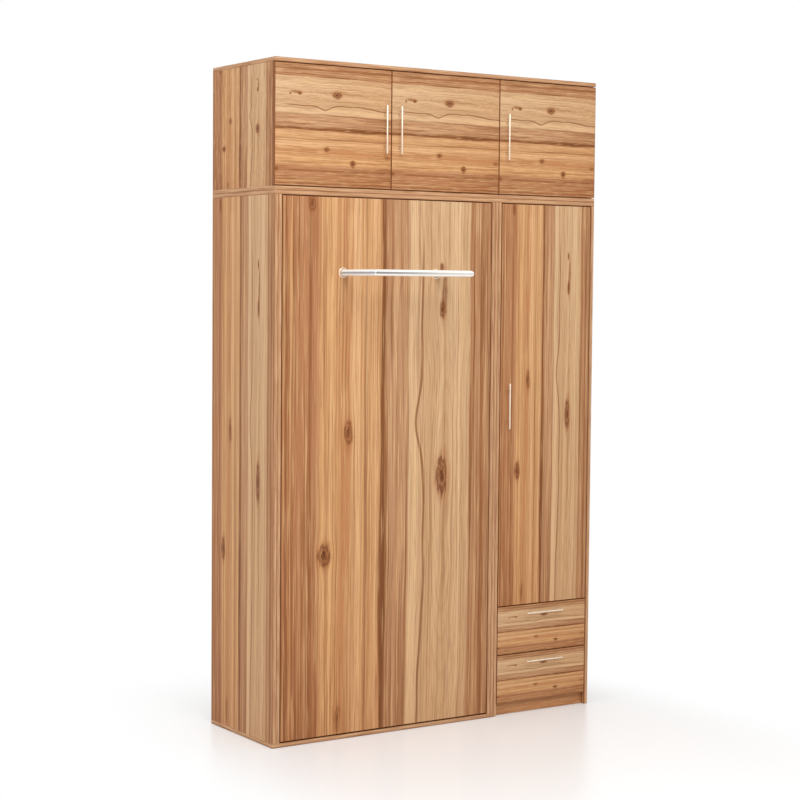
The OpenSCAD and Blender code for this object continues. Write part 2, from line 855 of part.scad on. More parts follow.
// Outline of a bent strip through a list of points
module bent_strip(points, w) {
    for (p = points) translate(p) circle(d = w, $fn = 24);
    for (i = [0:len(points) - 2]) {
        d = points[i + 1] - points[i];
        translate(points[i]) rotate(atan2(d[1], d[0])) translate([0, -w / 2]) square([norm(d), w]);
    }
}

// Bent link between the cup pin and the arm pin
module hinge_link() {
    translate([0, 0, -link_half_z]) linear_extrude(height = 2 * link_half_z) difference() {
        union() {
            bent_strip(link_path, link_t);
            translate(cup_pin) circle(r = knuckle_r, $fn = 32);
            translate(arm_pin) circle(r = knuckle_r, $fn = 32);
        }
        translate(cup_pin) circle(r = hinge_pin_r + pin_play, $fn = 32);
        translate(arm_pin) circle(r = hinge_pin_r + pin_play, $fn = 32);
    }
}

// Mounting plate on the board that carries the door, with the arm that holds the link.
// inner is how far the face of that board lies inside the hinge edge of the door.
module hinge_arm(inner) {
    cheek = link_half_z + 0.5;
    outer = cheek + 2;
    arm_u0 = arm_pin[0] - hinge_arm_w / 2;
    arm_u1 = arm_pin[0] + hinge_arm_w / 2;
    plate_v1 = hinge_plate_set + hinge_plate_l;
    block([inner, hinge_plate_set, -hinge_plate_h / 2], [inner + hinge_plate_t, plate_v1, hinge_plate_h / 2]);
    block([inner, hinge_plate_set + 4, -outer], [arm_u0 + 1, plate_v1 - 4, outer]);
    block([arm_u0, arm_pin[1] + knuckle_r + 1.5, -outer], [arm_u1, plate_v1 - 2, outer]);
    for (side = [-1, 1])
        block([arm_u0, arm_pin[1] - knuckle_r - 0.5, side > 0 ? cheek : -outer],
            [arm_u1, arm_pin[1] + knuckle_r + 2, side > 0 ? outer : -cheek]);
    rod_z(hinge_pin_r, -outer, outer, arm_pin[0], arm_pin[1]);
}

module hinge_arms() {
    color(steel) {
        at_hinges(left_edge, upper_hinge_z) hinge_arm(board_t);
        at_hinges(middle_edge, upper_hinge_z) hinge_arm((board_t - front_gap) / 2);
        at_hinges(right_edge, upper_hinge_z) hinge_arm(board_t);
        at_hinges(robe_edge, robe_hinge_z) hinge_arm(-front_gap);
    }
}

module upper_door(i, edge) {
    door_board(upper_door_x[i][0], upper_door_x[i][1], upper_door_z0, upper_door_z1, edge, upper_hinge_z);
}

// Handle of a top door, near the edge opposite its hinges
module upper_handle(x) {
    translate([x, y_front, (upper_door_z0 + upper_door_z1) / 2]) bar_handle();
}

module door_cups(edge, heights) {
    color(steel) at_hinges(edge, heights) hinge_cup();
}

module door_links(edge, heights) {
    color(steel) at_hinges(edge, heights) hinge_link();
}

module wardrobe_door() {
    door_board(robe_x0 + front_gap, robe_x1 - front_gap, robe_door_z0, robe_door_z1, robe_edge, robe_hinge_z);
}

module wardrobe_handle() {
    translate([robe_x0 + front_gap + handle_inset, y_front, (robe_door_z0 + robe_door_z1) / 2]) bar_handle();
}

// Drawers: i is 0 for the low one and 1 for the one above it

module drawer_front(i) {
    color(wood) block([robe_x0 + front_gap, y_front, drawer_z[i]],
        [robe_x1 - front_gap, panel_back_y, drawer_z[i] + drawer_front_h]);
}

module drawer_handle(i) {
    translate([robe_mid_x, y_front, drawer_z[i] + drawer_front_h - handle_inset])
        rotate([0, 90, 0]) bar_handle();
}

// Box of two sides, an inner front, a back and a thin bottom
module drawer_box(i) {
    x1 = box_x0 + box_w;
    y1 = box_y0 + box_l;
    z0 = drawer_z[i] + box_lift;
    z1 = z0 + box_h;
    in_x0 = box_x0 + board_t + glue_gap;
    in_x1 = x1 - board_t - glue_gap;
    color(wood_edge) {
        for (x = [box_x0, x1 - board_t]) block([x, box_y0, z0], [x + board_t, y1, z1]);
        for (y = [box_y0, y1 - board_t]) block([in_x0, y, z0], [in_x1, y + board_t, z1]);
        block([in_x0, box_y0 + board_t + glue_gap, z0 + box_bottom_lift],
            [in_x1, y1 - board_t - glue_gap, z0 + box_bottom_lift + box_bottom_t]);
    }
}

// Copies of a runner part on both sides of a drawer, drawn for the left with X from the side board
module both_runners(i) {
    z = drawer_z[i] + box_lift + box_h / 2;
    translate([robe_x0, runner_y0, z]) children();
    translate([robe_x1, runner_y0, z]) mirror([1, 0, 0]) children();
}

// Channel along Y: a web from x0 and two flanges out to x1, half_h high
module channel(x0, x1, web_x, half_h, l) {
    block([web_x, 0, -half_h], [web_x + sheet_t, l, half_h]);
    for (z = [-half_h, half_h - sheet_t]) block([x0, 0, z], [x1, l, z + sheet_t]);
}

middle_half_h = runner_h / 2 - sheet_t - slide_play;
inner_half_h = middle_half_h - sheet_t - slide_play;
middle_web_x = (runner_t - sheet_t) / 2;

module runner_outer_members() {
    color(steel) for (i = [0, 1]) both_runners(i)
        channel(0, middle_web_x - slide_play, 0, runner_h / 2, runner_l);
}

// Middle member: one web with flanges to both sides
module runner_middle(i) {
    color(steel) both_runners(i)
        channel(sheet_t + slide_play, runner_t - sheet_t - slide_play, middle_web_x, middle_half_h, runner_l);
}

module runner_inner(i) {
    color(steel) both_runners(i)
        channel(middle_web_x + sheet_t + slide_play, runner_t, runner_t - sheet_t, inner_half_h, box_l - 10);
}

bed_side_left();
bed_side_right();
bed_bottom_panel();
lower_top_panel();
bed_back_panel();
wall_rails();
wardrobe_side_left();
wardrobe_side_right();
wardrobe_floor();
wardrobe_plinth();
wardrobe_shelves();
wardrobe_back_panel();
hanging_rail();
upper_top_panel();
upper_bottom_panel();
upper_side_left();
upper_side_right();
upper_partition();
upper_back_panel();
joining_bolts();
cabinet_pivot_plates();
hinge_arms();
runner_outer_members();
closing_stops();
bed_front_panel();
bed_frame_rails();
bed_battens();
mattress();
mattress_straps();
leg_frame();
leg_flanges();
bed_pivot_plates();
strut_cylinders();
strut_rods();
upper_door(0, left_edge);  // upper_door_left
upper_handle(upper_door_x[0][1] - handle_inset);  // upper_handle_left
door_cups(left_edge, upper_hinge_z);  // upper_cups_left
door_links(left_edge, upper_hinge_z);  // upper_links_left
upper_door(1, middle_edge);  // upper_door_middle
upper_handle(upper_door_x[1][0] + handle_inset);  // upper_handle_middle
door_cups(middle_edge, upper_hinge_z);  // upper_cups_middle
door_links(middle_edge, upper_hinge_z);  // upper_links_middle
upper_door(2, right_edge);  // upper_door_right
upper_handle(upper_door_x[2][0] + handle_inset);  // upper_handle_right
door_cups(right_edge, upper_hinge_z);  // upper_cups_right
door_links(right_edge, upper_hinge_z);  // upper_links_right
wardrobe_door();
wardrobe_handle();
door_cups(robe_edge, robe_hinge_z);  // wardrobe_cups
door_links(robe_edge, robe_hinge_z);  // wardrobe_links
drawer_front(0);  // drawer_low_front
drawer_box(0);  // drawer_low_box
drawer_handle(0);  // drawer_low_handle
runner_inner(0);  // drawer_low_runners
drawer_front(1);  // drawer_top_front
drawer_box(1);  // drawer_top_box
drawer_handle(1);  // drawer_top_handle
runner_inner(1);  // drawer_top_runners
runner_middle(0);  // runner_middle_low
runner_middle(1);  // runner_middle_top
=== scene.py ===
"""Wall bed: finishes, soft goods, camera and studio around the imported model."""
import math

import bpy
from mathutils import Matrix, Vector

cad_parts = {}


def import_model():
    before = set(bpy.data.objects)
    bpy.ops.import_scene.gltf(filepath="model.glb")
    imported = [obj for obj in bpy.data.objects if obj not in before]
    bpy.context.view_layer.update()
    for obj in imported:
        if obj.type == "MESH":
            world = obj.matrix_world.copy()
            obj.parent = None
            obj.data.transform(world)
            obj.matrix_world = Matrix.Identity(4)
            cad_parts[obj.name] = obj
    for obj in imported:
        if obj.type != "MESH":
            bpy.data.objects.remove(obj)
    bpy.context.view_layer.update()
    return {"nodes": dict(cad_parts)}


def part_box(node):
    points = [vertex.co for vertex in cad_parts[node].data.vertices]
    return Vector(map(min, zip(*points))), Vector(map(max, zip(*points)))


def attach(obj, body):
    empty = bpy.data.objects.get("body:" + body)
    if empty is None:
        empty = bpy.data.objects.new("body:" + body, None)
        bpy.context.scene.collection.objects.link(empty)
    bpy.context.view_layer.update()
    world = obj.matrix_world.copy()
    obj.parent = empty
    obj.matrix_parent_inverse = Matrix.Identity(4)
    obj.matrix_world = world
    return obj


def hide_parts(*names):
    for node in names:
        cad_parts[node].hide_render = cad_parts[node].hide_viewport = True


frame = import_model()

MM = 0.001
AXES = "xyz"


# Colours and shader nodes

def rgb(red, green, blue):
    """A colour as it looks on the screen, 0 to 255 each, for a shader socket."""
    def linear(level):
        level /= 255
        return level / 12.92 if level <= 0.04045 else ((level + 0.055) / 1.055) ** 2.4
    return (linear(red), linear(green), linear(blue), 1.0)


def grey(level):
    return (level, level, level, 1.0)


def part(vector, axis):
    """The x, y or z part of a vector, be it numbers or node outputs."""
    return vector[AXES.index(axis)]


class Shader:
    """Adds nodes to one tree. A value is a number, a colour or the output of another node."""

    def __init__(self, tree):
        self.tree = tree

    def put(self, socket, value):
        if isinstance(value, bpy.types.NodeSocket):
            self.tree.links.new(value, socket)
        else:
            socket.default_value = value

    def add(self, kind, values=None, **settings):
        node = self.tree.nodes.new("ShaderNode" + kind)
        for name, value in settings.items():
            setattr(node, name, value)
        for name, value in (values or {}).items():
            self.put(node.inputs[name], value)
        return node

    def fill(self, node, *values):
        """Puts the values into the node's first sockets, and gives its first output."""
        for socket, value in zip(node.inputs, values):
            self.put(socket, value)
        return node.outputs[0]

    def math(self, operation, *values):
        return self.fill(self.add("Math", operation=operation), *values)

    def total(self, first, *others):
        for other in others:
            first = self.math("ADD", first, other)
        return first

    def times(self, first, *others):
        for other in others:
            first = self.math("MULTIPLY", first, other)
        return first

    def minus(self, first, second):
        return self.math("SUBTRACT", first, second)

    def absolute(self, value):
        return self.math("ABSOLUTE", value)

    def about(self, value, middle, half):
        """0 at the middle, 1 at the distance half from it."""
        return self.math("DIVIDE", self.minus(value, middle), half)

    def bell(self, value, sharpness=1.0):
        """1 where the value is 0, easing to 0 on both sides."""
        return self.math("EXPONENT", self.times(value, value, -sharpness))

    def hypot(self, first, second):
        return self.math("SQRT", self.total(self.times(first, first), self.times(second, second)))

    def level(self, value, low, high, to_low=0.0, to_high=1.0):
        """Value eased from low..high to to_low..to_high."""
        node = self.add("MapRange", interpolation_type="SMOOTHSTEP")
        return self.fill(node, value, low, high, to_low, to_high)

    def gloss(self, noise, smooth, rough):
        """Roughness that varies with a noise."""
        return self.level(noise, 0.2, 0.8, smooth, rough)

    def noise(self, place, scale, detail):
        return self.add("TexNoise", {"Vector": place, "Scale": scale, "Detail": detail}).outputs[0]

    def streaks(self, across, along, width, length, seed, detail=2.0):
        """Noise 0..1 with this many blobs over the width and the length of a board."""
        at = self.add("CombineXYZ")
        self.fill(at, self.times(across, width), self.times(along, length), seed)
        return self.noise(at.outputs[0], 1.0, detail)

    def cloud(self, scale, detail):
        """Noise 0..1 in space, with this many blobs to a metre."""
        return self.noise(self.add("TexCoord").outputs["Object"], scale, detail)

    def mix(self, factor, first, second, mode="MIX"):
        node = self.add("Mix", data_type="RGBA", blend_type=mode)
        for index, value in ((0, factor), (6, first), (7, second)):
            self.put(node.inputs[index], value)
        return node.outputs[2]

    def ramp(self, factor, stops):
        """Colour ramp through stops of (position, colour); a bare number is a grey."""
        node = self.add("ValToRGB", {"Fac": factor})
        elements = node.color_ramp.elements
        elements.remove(elements[1])
        for index, (position, colour) in enumerate(stops):
            element = elements[0] if index == 0 else elements.new(position)
            element.position = position
            element.color = colour if isinstance(colour, tuple) else grey(colour)
        return node.outputs[0]

    def bump(self, height, depth, strength):
        values = {"Height": height, "Distance": depth, "Strength": strength}
        return self.add("Bump", values).outputs[0]

    def coordinates(self, kind="Object"):
        """The parts of a point's place in metres in the frame, or of its Normal or UV."""
        return self.add("SeparateXYZ", {"Vector": self.add("TexCoord").outputs[kind]}).outputs

    def surface(self, values):
        """Ends a material in a Principled shader with these values."""
        principled = self.add("BsdfPrincipled", values)
        self.add("OutputMaterial", {"Surface": principled.outputs[0]})


def new_material(name):
    material = bpy.data.materials.new(name)
    material.use_nodes = True
    material.node_tree.nodes.clear()
    return material, Shader(material.node_tree)


def new_group(name, inputs, outputs):
    """Node group with float inputs; an output is (name, kind)."""
    tree = bpy.data.node_groups.new(name, "ShaderNodeTree")
    for socket in inputs:
        tree.interface.new_socket(socket, in_out="INPUT", socket_type="NodeSocketFloat")
    for socket, kind in outputs:
        tree.interface.new_socket(socket, in_out="OUTPUT", socket_type="NodeSocket" + kind)
    given = tree.nodes.new("NodeGroupInput")
    result = tree.nodes.new("NodeGroupOutput")
    return tree, Shader(tree), given.outputs, result.inputs


# Wood print of the laminated board.
# Across and along run 0 to 1 over one board, so every board shows the same plank set.

# Tones of the planks and of the dark years between
REDDISH = rgb(175, 119, 82)
TAN = rgb(190, 133, 89)
ORANGE = rgb(206, 153, 105)
GOLD = rgb(215, 165, 120)
MAUVE = rgb(178, 130, 95)
PINK = rgb(192, 146, 111)
CREAM = rgb(218, 179, 139)
BEIGE = rgb(208, 168, 130)
SAND = rgb(197, 157, 118)
YEAR = rgb(150, 99, 66)
DARK_YEAR = rgb(124, 75, 44)
# Where each tone lies across a board
PLANKS = [
    (0.000, REDDISH), (0.012, REDDISH), (0.019, DARK_YEAR), (0.028, REDDISH), (0.036, TAN),
    (0.050, REDDISH), (0.118, REDDISH), (0.126, DARK_YEAR), (0.134, REDDISH), (0.158, REDDISH),
    (0.185, ORANGE), (0.250, ORANGE), (0.270, TAN), (0.310, TAN), (0.335, GOLD), (0.358, GOLD),
    (0.378, ORANGE), (0.389, YEAR), (0.400, ORANGE), (0.438, GOLD), (0.458, TAN), (0.476, YEAR),
    (0.492, MAUVE), (0.520, PINK), (0.548, MAUVE), (0.572, PINK), (0.584, YEAR), (0.598, CREAM),
    (0.625, CREAM), (0.655, BEIGE),
]
PALE_PLANK = [
    (0.640, BEIGE), (0.690, SAND), (0.735, BEIGE), (0.775, SAND), (0.805, BEIGE), (0.840, CREAM),
    (0.862, SAND), (0.893, BEIGE), (0.899, MAUVE), (0.948, MAUVE), (0.956, YEAR), (0.966, MAUVE),
    (0.985, MAUVE), (1.000, YEAR),
]
# How many streaks and lines the planks carry, and how far their grain may wander
LIVELINESS = [
    (0.0, 1.0), (0.16, 0.95), (0.19, 0.55), (0.46, 0.60), (0.50, 1.00), (0.60, 0.46), (0.89, 0.42),
    (0.905, 1.0), (1.0, 1.0),
]
LOOSENESS = [
    (0.0, 0.20), (0.30, 0.34), (0.50, 0.30), (0.60, 0.55), (0.68, 1.0), (0.86, 1.0), (0.90, 0.30),
    (1.0, 0.25),
]
# across, along, half width, half length, darkness
KNOTS = [
    (0.196, 0.662, 0.024, 0.013, 1.00),
    (0.306, 0.436, 0.016, 0.015, 0.85),
    (0.758, 0.524, 0.024, 0.022, 1.00),
    (0.758, 0.206, 0.012, 0.010, 1.00),
    (0.752, 0.126, 0.008, 0.005, 1.00),
    (0.770, 0.172, 0.010, 0.022, 0.55),
    (0.262, 0.972, 0.012, 0.016, 0.60),
    (0.135, 0.012, 0.014, 0.010, 0.70),
]
KNOT_BROWN = rgb(88, 40, 12)
KNOT_HALO = rgb(164, 92, 46)
LINE_BROWN = rgb(126, 76, 38)
# Painted shade of the gaps between fronts
GAP_SHADE_BROWN = rgb(122, 66, 26)


def knot_group():
    """Push of the grain round one knot, and how dark its core, its halo and its tail are."""
    inputs = ["Across", "Along", "Middle across", "Middle along", "Half width", "Half length"]
    outputs = [(name, "Float") for name in ("Push", "Core", "Halo", "Tail")]
    tree, shader, given, result = new_group("knot", inputs, outputs)
    ragged = shader.streaks(given["Across"], given["Along"], 120.0, 46.0, 2.3, 3.0)
    blots = shader.streaks(given["Across"], given["Along"], 210.0, 150.0, 6.6)
    aside = shader.minus(given["Across"], given["Middle across"])
    across = shader.math("DIVIDE", aside, given["Half width"])
    along = shader.about(given["Along"], given["Middle along"], given["Half length"])
    squared = shader.total(shader.times(across, across), shader.times(along, along, 0.55))
    spread = shader.math("EXPONENT", shader.times(squared, -0.36))
    distance = shader.total(shader.math("SQRT", squared), shader.times(ragged, 1.5), -0.75)
    ring = shader.bell(shader.total(distance, -0.95), 16.0)
    heart = shader.level(distance, 0.80, 0.30)
    heart = shader.times(heart, shader.level(blots, 0.36, 0.52, 0.35, 1.0))
    sway = shader.total(across, shader.times(ragged, 0.7), -0.35)
    tail = shader.total(shader.times(sway, sway, 11.0), shader.times(along, along, 0.22))
    shader.put(result["Push"], shader.times(aside, spread, 0.50))
    shader.put(result["Core"], shader.math("MAXIMUM", shader.times(ring, 0.72), heart))
    shader.put(result["Halo"], shader.level(distance, 2.2, 0.6))
    shader.put(result["Tail"], shader.math("EXPONENT", shader.times(tail, -1.0)))
    return tree


def place_knots(shader, across, along):
    """Outputs of each knot of the print, with its darkness."""
    tree = knot_group()
    knots = []
    for *values, darkness in KNOTS:
        node = shader.add("Group", node_tree=tree)
        shader.fill(node, across, along, *values)
        knots.append((node.outputs, darkness))
    return knots


def bent_grain(shader, across, along, knots):
    """Across, bent by slow drift, by wobble and by the knots, as the growth lines run."""
    drift = shader.total(shader.times(shader.streaks(across, along, 2.2, 2.6, 3.1), 0.060), -0.030)
    wobble = shader.streaks(across, along, 10.0, 6.0, 5.7, 1.0)
    wobble = shader.total(shader.times(wobble, 0.018), -0.009)
    bend = shader.times(shader.ramp(across, LOOSENESS), shader.total(drift, wobble))
    grain = shader.total(across, bend)
    for outputs, _ in knots:
        grain = shader.minus(grain, outputs["Push"])
    return grain


def growth_lines(shader, colour, grain, along):
    """Broad streaks, then thin growth lines; gives the colour and where the thin lines are."""
    lively = shader.ramp(grain, LIVELINESS)
    broad = shader.level(shader.streaks(grain, along, 34.0, 1.3, 7.3, 3.0), 0.60, 0.38)
    colour = shader.mix(shader.times(broad, lively, 0.34), colour, rgb(156, 94, 52))
    bright = shader.level(shader.streaks(grain, along, 60.0, 1.9, 8.9), 0.52, 0.62)
    colour = shader.mix(shader.times(bright, 0.24), colour, rgb(234, 190, 140))
    coarse = shader.level(shader.streaks(grain, along, 84.0, 1.2, 9.4, 2.5), 0.55, 0.62)
    colour = shader.mix(shader.times(coarse, lively, 0.56), colour, rgb(136, 82, 44))
    lines = shader.level(shader.streaks(grain, along, 170.0, 2.4, 10.8, 2.5), 0.53, 0.62)
    return shader.mix(shader.times(lines, lively, 0.72), colour, LINE_BROWN), lines


def ovals(shader, colour, grain, along):
    """Long ovals of the pale plank."""
    radius = shader.hypot(shader.about(grain, 0.766, 0.050), shader.about(along, 0.60, 0.215))
    uneven = shader.times(shader.streaks(grain, along, 7.0, 5.0, 12.9), 5.0)
    turns = shader.total(shader.times(radius, 21.0), uneven)
    rings = shader.level(shader.math("SINE", turns), 0.25, 1.0)
    inside = shader.times(shader.level(grain, 0.662, 0.685), shader.level(grain, 0.894, 0.875))
    fading = shader.level(radius, 2.4, 0.8, 0.10, 1.0)
    return shader.mix(shader.times(rings, inside, fading, 0.22), colour, rgb(160, 112, 66))


def heart_line(shader, colour, grain, along):
    """Dark line down the board, with a thick stretch low down."""
    sway = shader.times(shader.streaks(grain, along, 0.0, 2.6, 17.2), 0.022)
    thick = shader.bell(shader.about(along, 0.73, 0.13))
    half_width = shader.total(shader.times(thick, 0.017), 0.0095)
    share = shader.absolute(shader.about(grain, shader.total(sway, 0.457), half_width))
    heart = shader.level(share, 1.15, 0.35)
    return shader.mix(shader.times(heart, 0.88), colour, rgb(118, 68, 34))


def wandering_line(shader, colour, grain, along):
    """Thin line beside the pale plank, with a kink near the middle."""
    sway = shader.times(shader.streaks(grain, along, 0.0, 5.0, 19.6, 1.0), 0.045)
    kink = shader.times(shader.bell(shader.about(along, 0.42, 0.060)), -0.026)
    aside = shader.absolute(shader.minus(grain, shader.total(sway, kink, 0.638)))
    thin = shader.times(shader.level(aside, 0.0080, 0.0020), shader.level(along, 0.02, 0.16))
    return shader.mix(shader.times(thin, 0.80), colour, LINE_BROWN)


def print_group():
    """Colour and relief of the print at one point of a board."""
    outputs = [("Color", "Color"), ("Relief", "Float")]
    tree, shader, given, result = new_group("laminate_print", ["Across", "Along"], outputs)
    along = given["Along"]
    knots = place_knots(shader, given["Across"], along)
    grain = bent_grain(shader, given["Across"], along, knots)
    in_pale = shader.level(grain, 0.645, 0.655)
    colour = shader.mix(in_pale, shader.ramp(grain, PLANKS), shader.ramp(grain, PALE_PLANK))
    colour, lines = growth_lines(shader, colour, grain, along)
    colour = ovals(shader, colour, grain, along)
    colour = heart_line(shader, colour, grain, along)
    colour = wandering_line(shader, colour, grain, along)

    pores = shader.level(shader.streaks(grain, along, 250.0, 16.0, 11.5, 3.0), 0.50, 0.74)
    colour = shader.mix(shader.times(pores, 0.42), colour, rgb(136, 84, 48))
    flecks = shader.level(shader.streaks(grain, along, 190.0, 9.0, 13.8), 0.52, 0.76)
    colour = shader.mix(shader.times(flecks, 0.38), colour, rgb(238, 194, 142))
    for outputs, darkness in knots:
        for layer, strength, tone in (
                ("Halo", 0.56, KNOT_HALO), ("Tail", 0.55, LINE_BROWN), ("Core", 0.92, KNOT_BROWN)):
            colour = shader.mix(shader.times(outputs[layer], darkness * strength), colour, tone)

    # Boards darken and redden a little towards their lower end
    lower = shader.ramp(along, [
        (0.0, (0.96, 1.0, 1.0, 1.0)), (0.45, (0.94, 0.965, 0.94, 1.0)), (1.0, (0.875, 0.84, 0.78, 1.0))])
    shader.put(result["Color"], shader.mix(1.0, colour, lower, "MULTIPLY"))
    relief = shader.total(shader.times(pores, -0.5), shader.times(lines, -0.3), 1.0)
    shader.put(result["Relief"], relief)
    return tree


WOOD_PRINT = print_group()
# The plinth is too low for all planks, so it shows this share of the print across
STRIPS = {"wardrobe_plinth": (0.045, 0.115)}


def along_box(shader, place, node, axis, direction=1):
    """0..1 over the node's box along an axis; direction -1 counts from its far end."""
    low, high = (part(corner, axis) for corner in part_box(node))
    start, end = (low, high) if direction > 0 else (high, low)
    return shader.fill(shader.add("MapRange", clamp=False), part(place, axis), start, end, 0.0, 1.0)


def edge_band_with_painted_shade(shader, depth, streak):
    """Banding of a board's edges: a finer print, with darker rims of painted shade at its two faces."""
    band = shader.ramp(streak, [
        (0.30, rgb(152, 105, 73)), (0.46, rgb(182, 137, 101)), (0.58, rgb(195, 153, 115)),
        (0.72, rgb(207, 167, 130))])
    # Painted shade across the edge's depth, darkest at its first face, as on a rounded edge; where plies
    # meet, these dark rims also mark the joint
    rim = shader.ramp(depth, [
        (0.0, rgb(150, 118, 92)), (0.07, rgb(214, 200, 190)), (0.30, rgb(244, 240, 236)),
        (0.80, rgb(255, 255, 255)), (0.95, rgb(240, 236, 230)), (1.0, rgb(186, 160, 140))])
    return shader.mix(1.0, band, rim, "MULTIPLY")


def painted_gap_shade(shader, colour, place, node):
    """Painted shade: a dark line where a front's face meets its banding, for the shade in the gaps
    between fronts.
    """
    for axis in "xz":
        low, high = (part(corner, axis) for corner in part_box(node))
        off_middle = shader.absolute(shader.minus(part(place, axis), (low + high) / 2))
        to_edge = shader.minus((high - low) / 2, off_middle)
        colour = shader.mix(
            shader.level(to_edge, 1.8 * MM, 1.0 * MM, 0.0, 0.85), colour, GAP_SHADE_BROWN)
    return colour


def board_material(node, across, along, plies=1):
    """Print on the two faces of a board, and banding on the edges of each of its plies."""
    material, shader = new_material("laminate_" + node)
    place = shader.coordinates()
    wood = shader.add("Group", node_tree=WOOD_PRINT)
    print_across = along_box(shader, place, node, *across)
    if node in STRIPS:
        start, end = STRIPS[node]
        print_across = shader.total(shader.times(print_across, end - start), start)
    shader.fill(wood, print_across, along_box(shader, place, node, *along))

    face_axis = next(axis for axis in AXES if axis not in (across[0], along[0]))
    normal = part(shader.coordinates("Normal"), face_axis)
    is_face = shader.math("GREATER_THAN", shader.absolute(normal), 0.5)
    lengthwise = shader.total(part(place, across[0]), part(place, along[0]))
    streak = shader.streaks(part(place, face_axis), lengthwise, 420.0, 9.0, 4.4, 3.0)
    depth = along_box(shader, place, node, face_axis)
    # Each ply gets its own rims of painted shade
    if plies > 1:
        depth = shader.math("FRACT", shader.times(depth, float(plies)))
    colour = shader.mix(is_face, edge_band_with_painted_shade(shader, depth, streak), wood.outputs["Color"])
    if node in STRIPS:
        colour = shader.mix(0.4, colour, rgb(192, 138, 92))
    elif face_axis == "y":
        # Painted gap shade along the edges of the fronts
        colour = painted_gap_shade(shader, colour, place, node)
    shader.surface({
        "Base Color": colour,
        "Roughness": shader.gloss(streak, 0.46, 0.54),
        "Specular IOR Level": 0.15,
        "Normal": shader.bump(wood.outputs["Relief"], 0.00012, 0.5),
    })
    return material


# Finishes of the other pieces

def plain_board_material(name, runs):
    """Pale laminate with a faint grain; runs names its axis on faces square to x, to y and to z."""
    material, shader = new_material(name)
    place = shader.coordinates()
    normal = shader.coordinates("Normal")
    grain = 0.0
    for face, run in enumerate(runs):
        along = AXES.index(run)
        across = 3 - face - along
        board = shader.times(place[face], 3.0)
        streaks = shader.streaks(place[across], place[along], 170.0, 6.0, board, 3.0)
        facing = shader.math("GREATER_THAN", shader.absolute(normal[face]), 0.7)
        grain = shader.total(grain, shader.times(streaks, facing))
    colour = shader.ramp(grain, [
        (0.30, rgb(196, 172, 140)), (0.50, rgb(212, 190, 158)), (0.70, rgb(222, 203, 174))])
    shader.surface({
        "Base Color": colour,
        "Roughness": shader.gloss(grain, 0.50, 0.60),
        "Normal": shader.bump(grain, 0.0001, 0.4),
    })
    return material


def batten_material():
    """Planed birch: fine straight grain along the batten and a few darker years."""
    material, shader = new_material("planed_birch")
    x, y, z = shader.coordinates()
    through = shader.total(z, shader.times(y, 0.6))
    years = shader.streaks(through, x, 150.0, 5.0, 6.1, 3.0)
    fibres = shader.streaks(through, x, 900.0, 26.0, 8.3)
    colour = shader.ramp(years, [
        (0.28, rgb(198, 160, 112)), (0.46, rgb(222, 190, 144)), (0.60, rgb(230, 202, 160)),
        (0.75, rgb(214, 180, 134))])
    colour = shader.mix(shader.level(fibres, 0.5, 0.8, 0.0, 0.3), colour, rgb(178, 138, 92))
    shader.surface({
        "Base Color": colour,
        "Roughness": shader.gloss(years, 0.55, 0.68),
        "Normal": shader.bump(fibres, 0.0002, 0.4),
    })
    return material


def metal_material(name, colour, metallic, roughness, brushing, depth):
    """Bare or plated metal with fine brushing and faint smears in its gloss."""
    material, shader = new_material(name)
    x, y, z = shader.coordinates()
    level = shader.total(x, y)
    smear = shader.streaks(level, z, 22.0, 22.0, 3.7, 3.0)
    brush = shader.streaks(level, z, brushing, brushing * 0.3, 5.2)
    shader.surface({
        "Base Color": shader.mix(1.0, colour, shader.level(smear, 0.25, 0.75, 0.93, 1.0), "MULTIPLY"),
        "Metallic": metallic,
        "Roughness": shader.gloss(smear, roughness, roughness * 1.5),
        "Normal": shader.bump(brush, depth, 0.3),
    })
    return material


def chrome_surface(shader, colour, metallic):
    """Ends a material in bright chrome of this colour, with faint smears in its gloss."""
    smear = shader.cloud(22.0, 3.0)
    shader.surface({
        "Base Color": colour,
        "Metallic": metallic,
        "Roughness": shader.gloss(smear, 0.12, 0.20),
        "Normal": shader.bump(smear, 0.00002, 0.3),
    })


def tube_material():
    """Chrome tube with a painted reflection in its colour: bright above and below, with the dim middle
    of a room painted between.
    """
    material, shader = new_material("tube_chrome_painted_reflection")
    normal = shader.coordinates("Normal")
    upward = shader.absolute(normal[2])

    def painted_reflection_bands(middle, beside, bright, above, spread=0.0):
        return shader.ramp(upward, [
            (0.0, middle), (0.24 + spread, beside), (0.46 + spread * 2 / 3, bright), (1.0, above)])

    # Painted reflection: a bright painted highlight above and below, and a dim painted band in the
    # middle, darker on the left and bluish white on the posts
    bright = rgb(252, 247, 240)
    left = painted_reflection_bands(rgb(122, 120, 119), rgb(152, 150, 148), bright, bright, 0.06)
    right = painted_reflection_bands(rgb(202, 198, 192), rgb(212, 209, 204), bright, bright)
    post = painted_reflection_bands(rgb(152, 156, 162), rgb(176, 184, 192), rgb(246, 252, 255), rgb(250, 254, 255))
    low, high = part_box("leg_frame")
    # The painted band pales from the left end of the leg to the right
    rightward = shader.level(shader.coordinates()[0], low[0], high[0])
    on_post = shader.level(shader.absolute(normal[0]), 0.15, 0.35)
    chrome_surface(shader, shader.mix(on_post, shader.mix(rightward, left, right), post), 0.18)
    return material


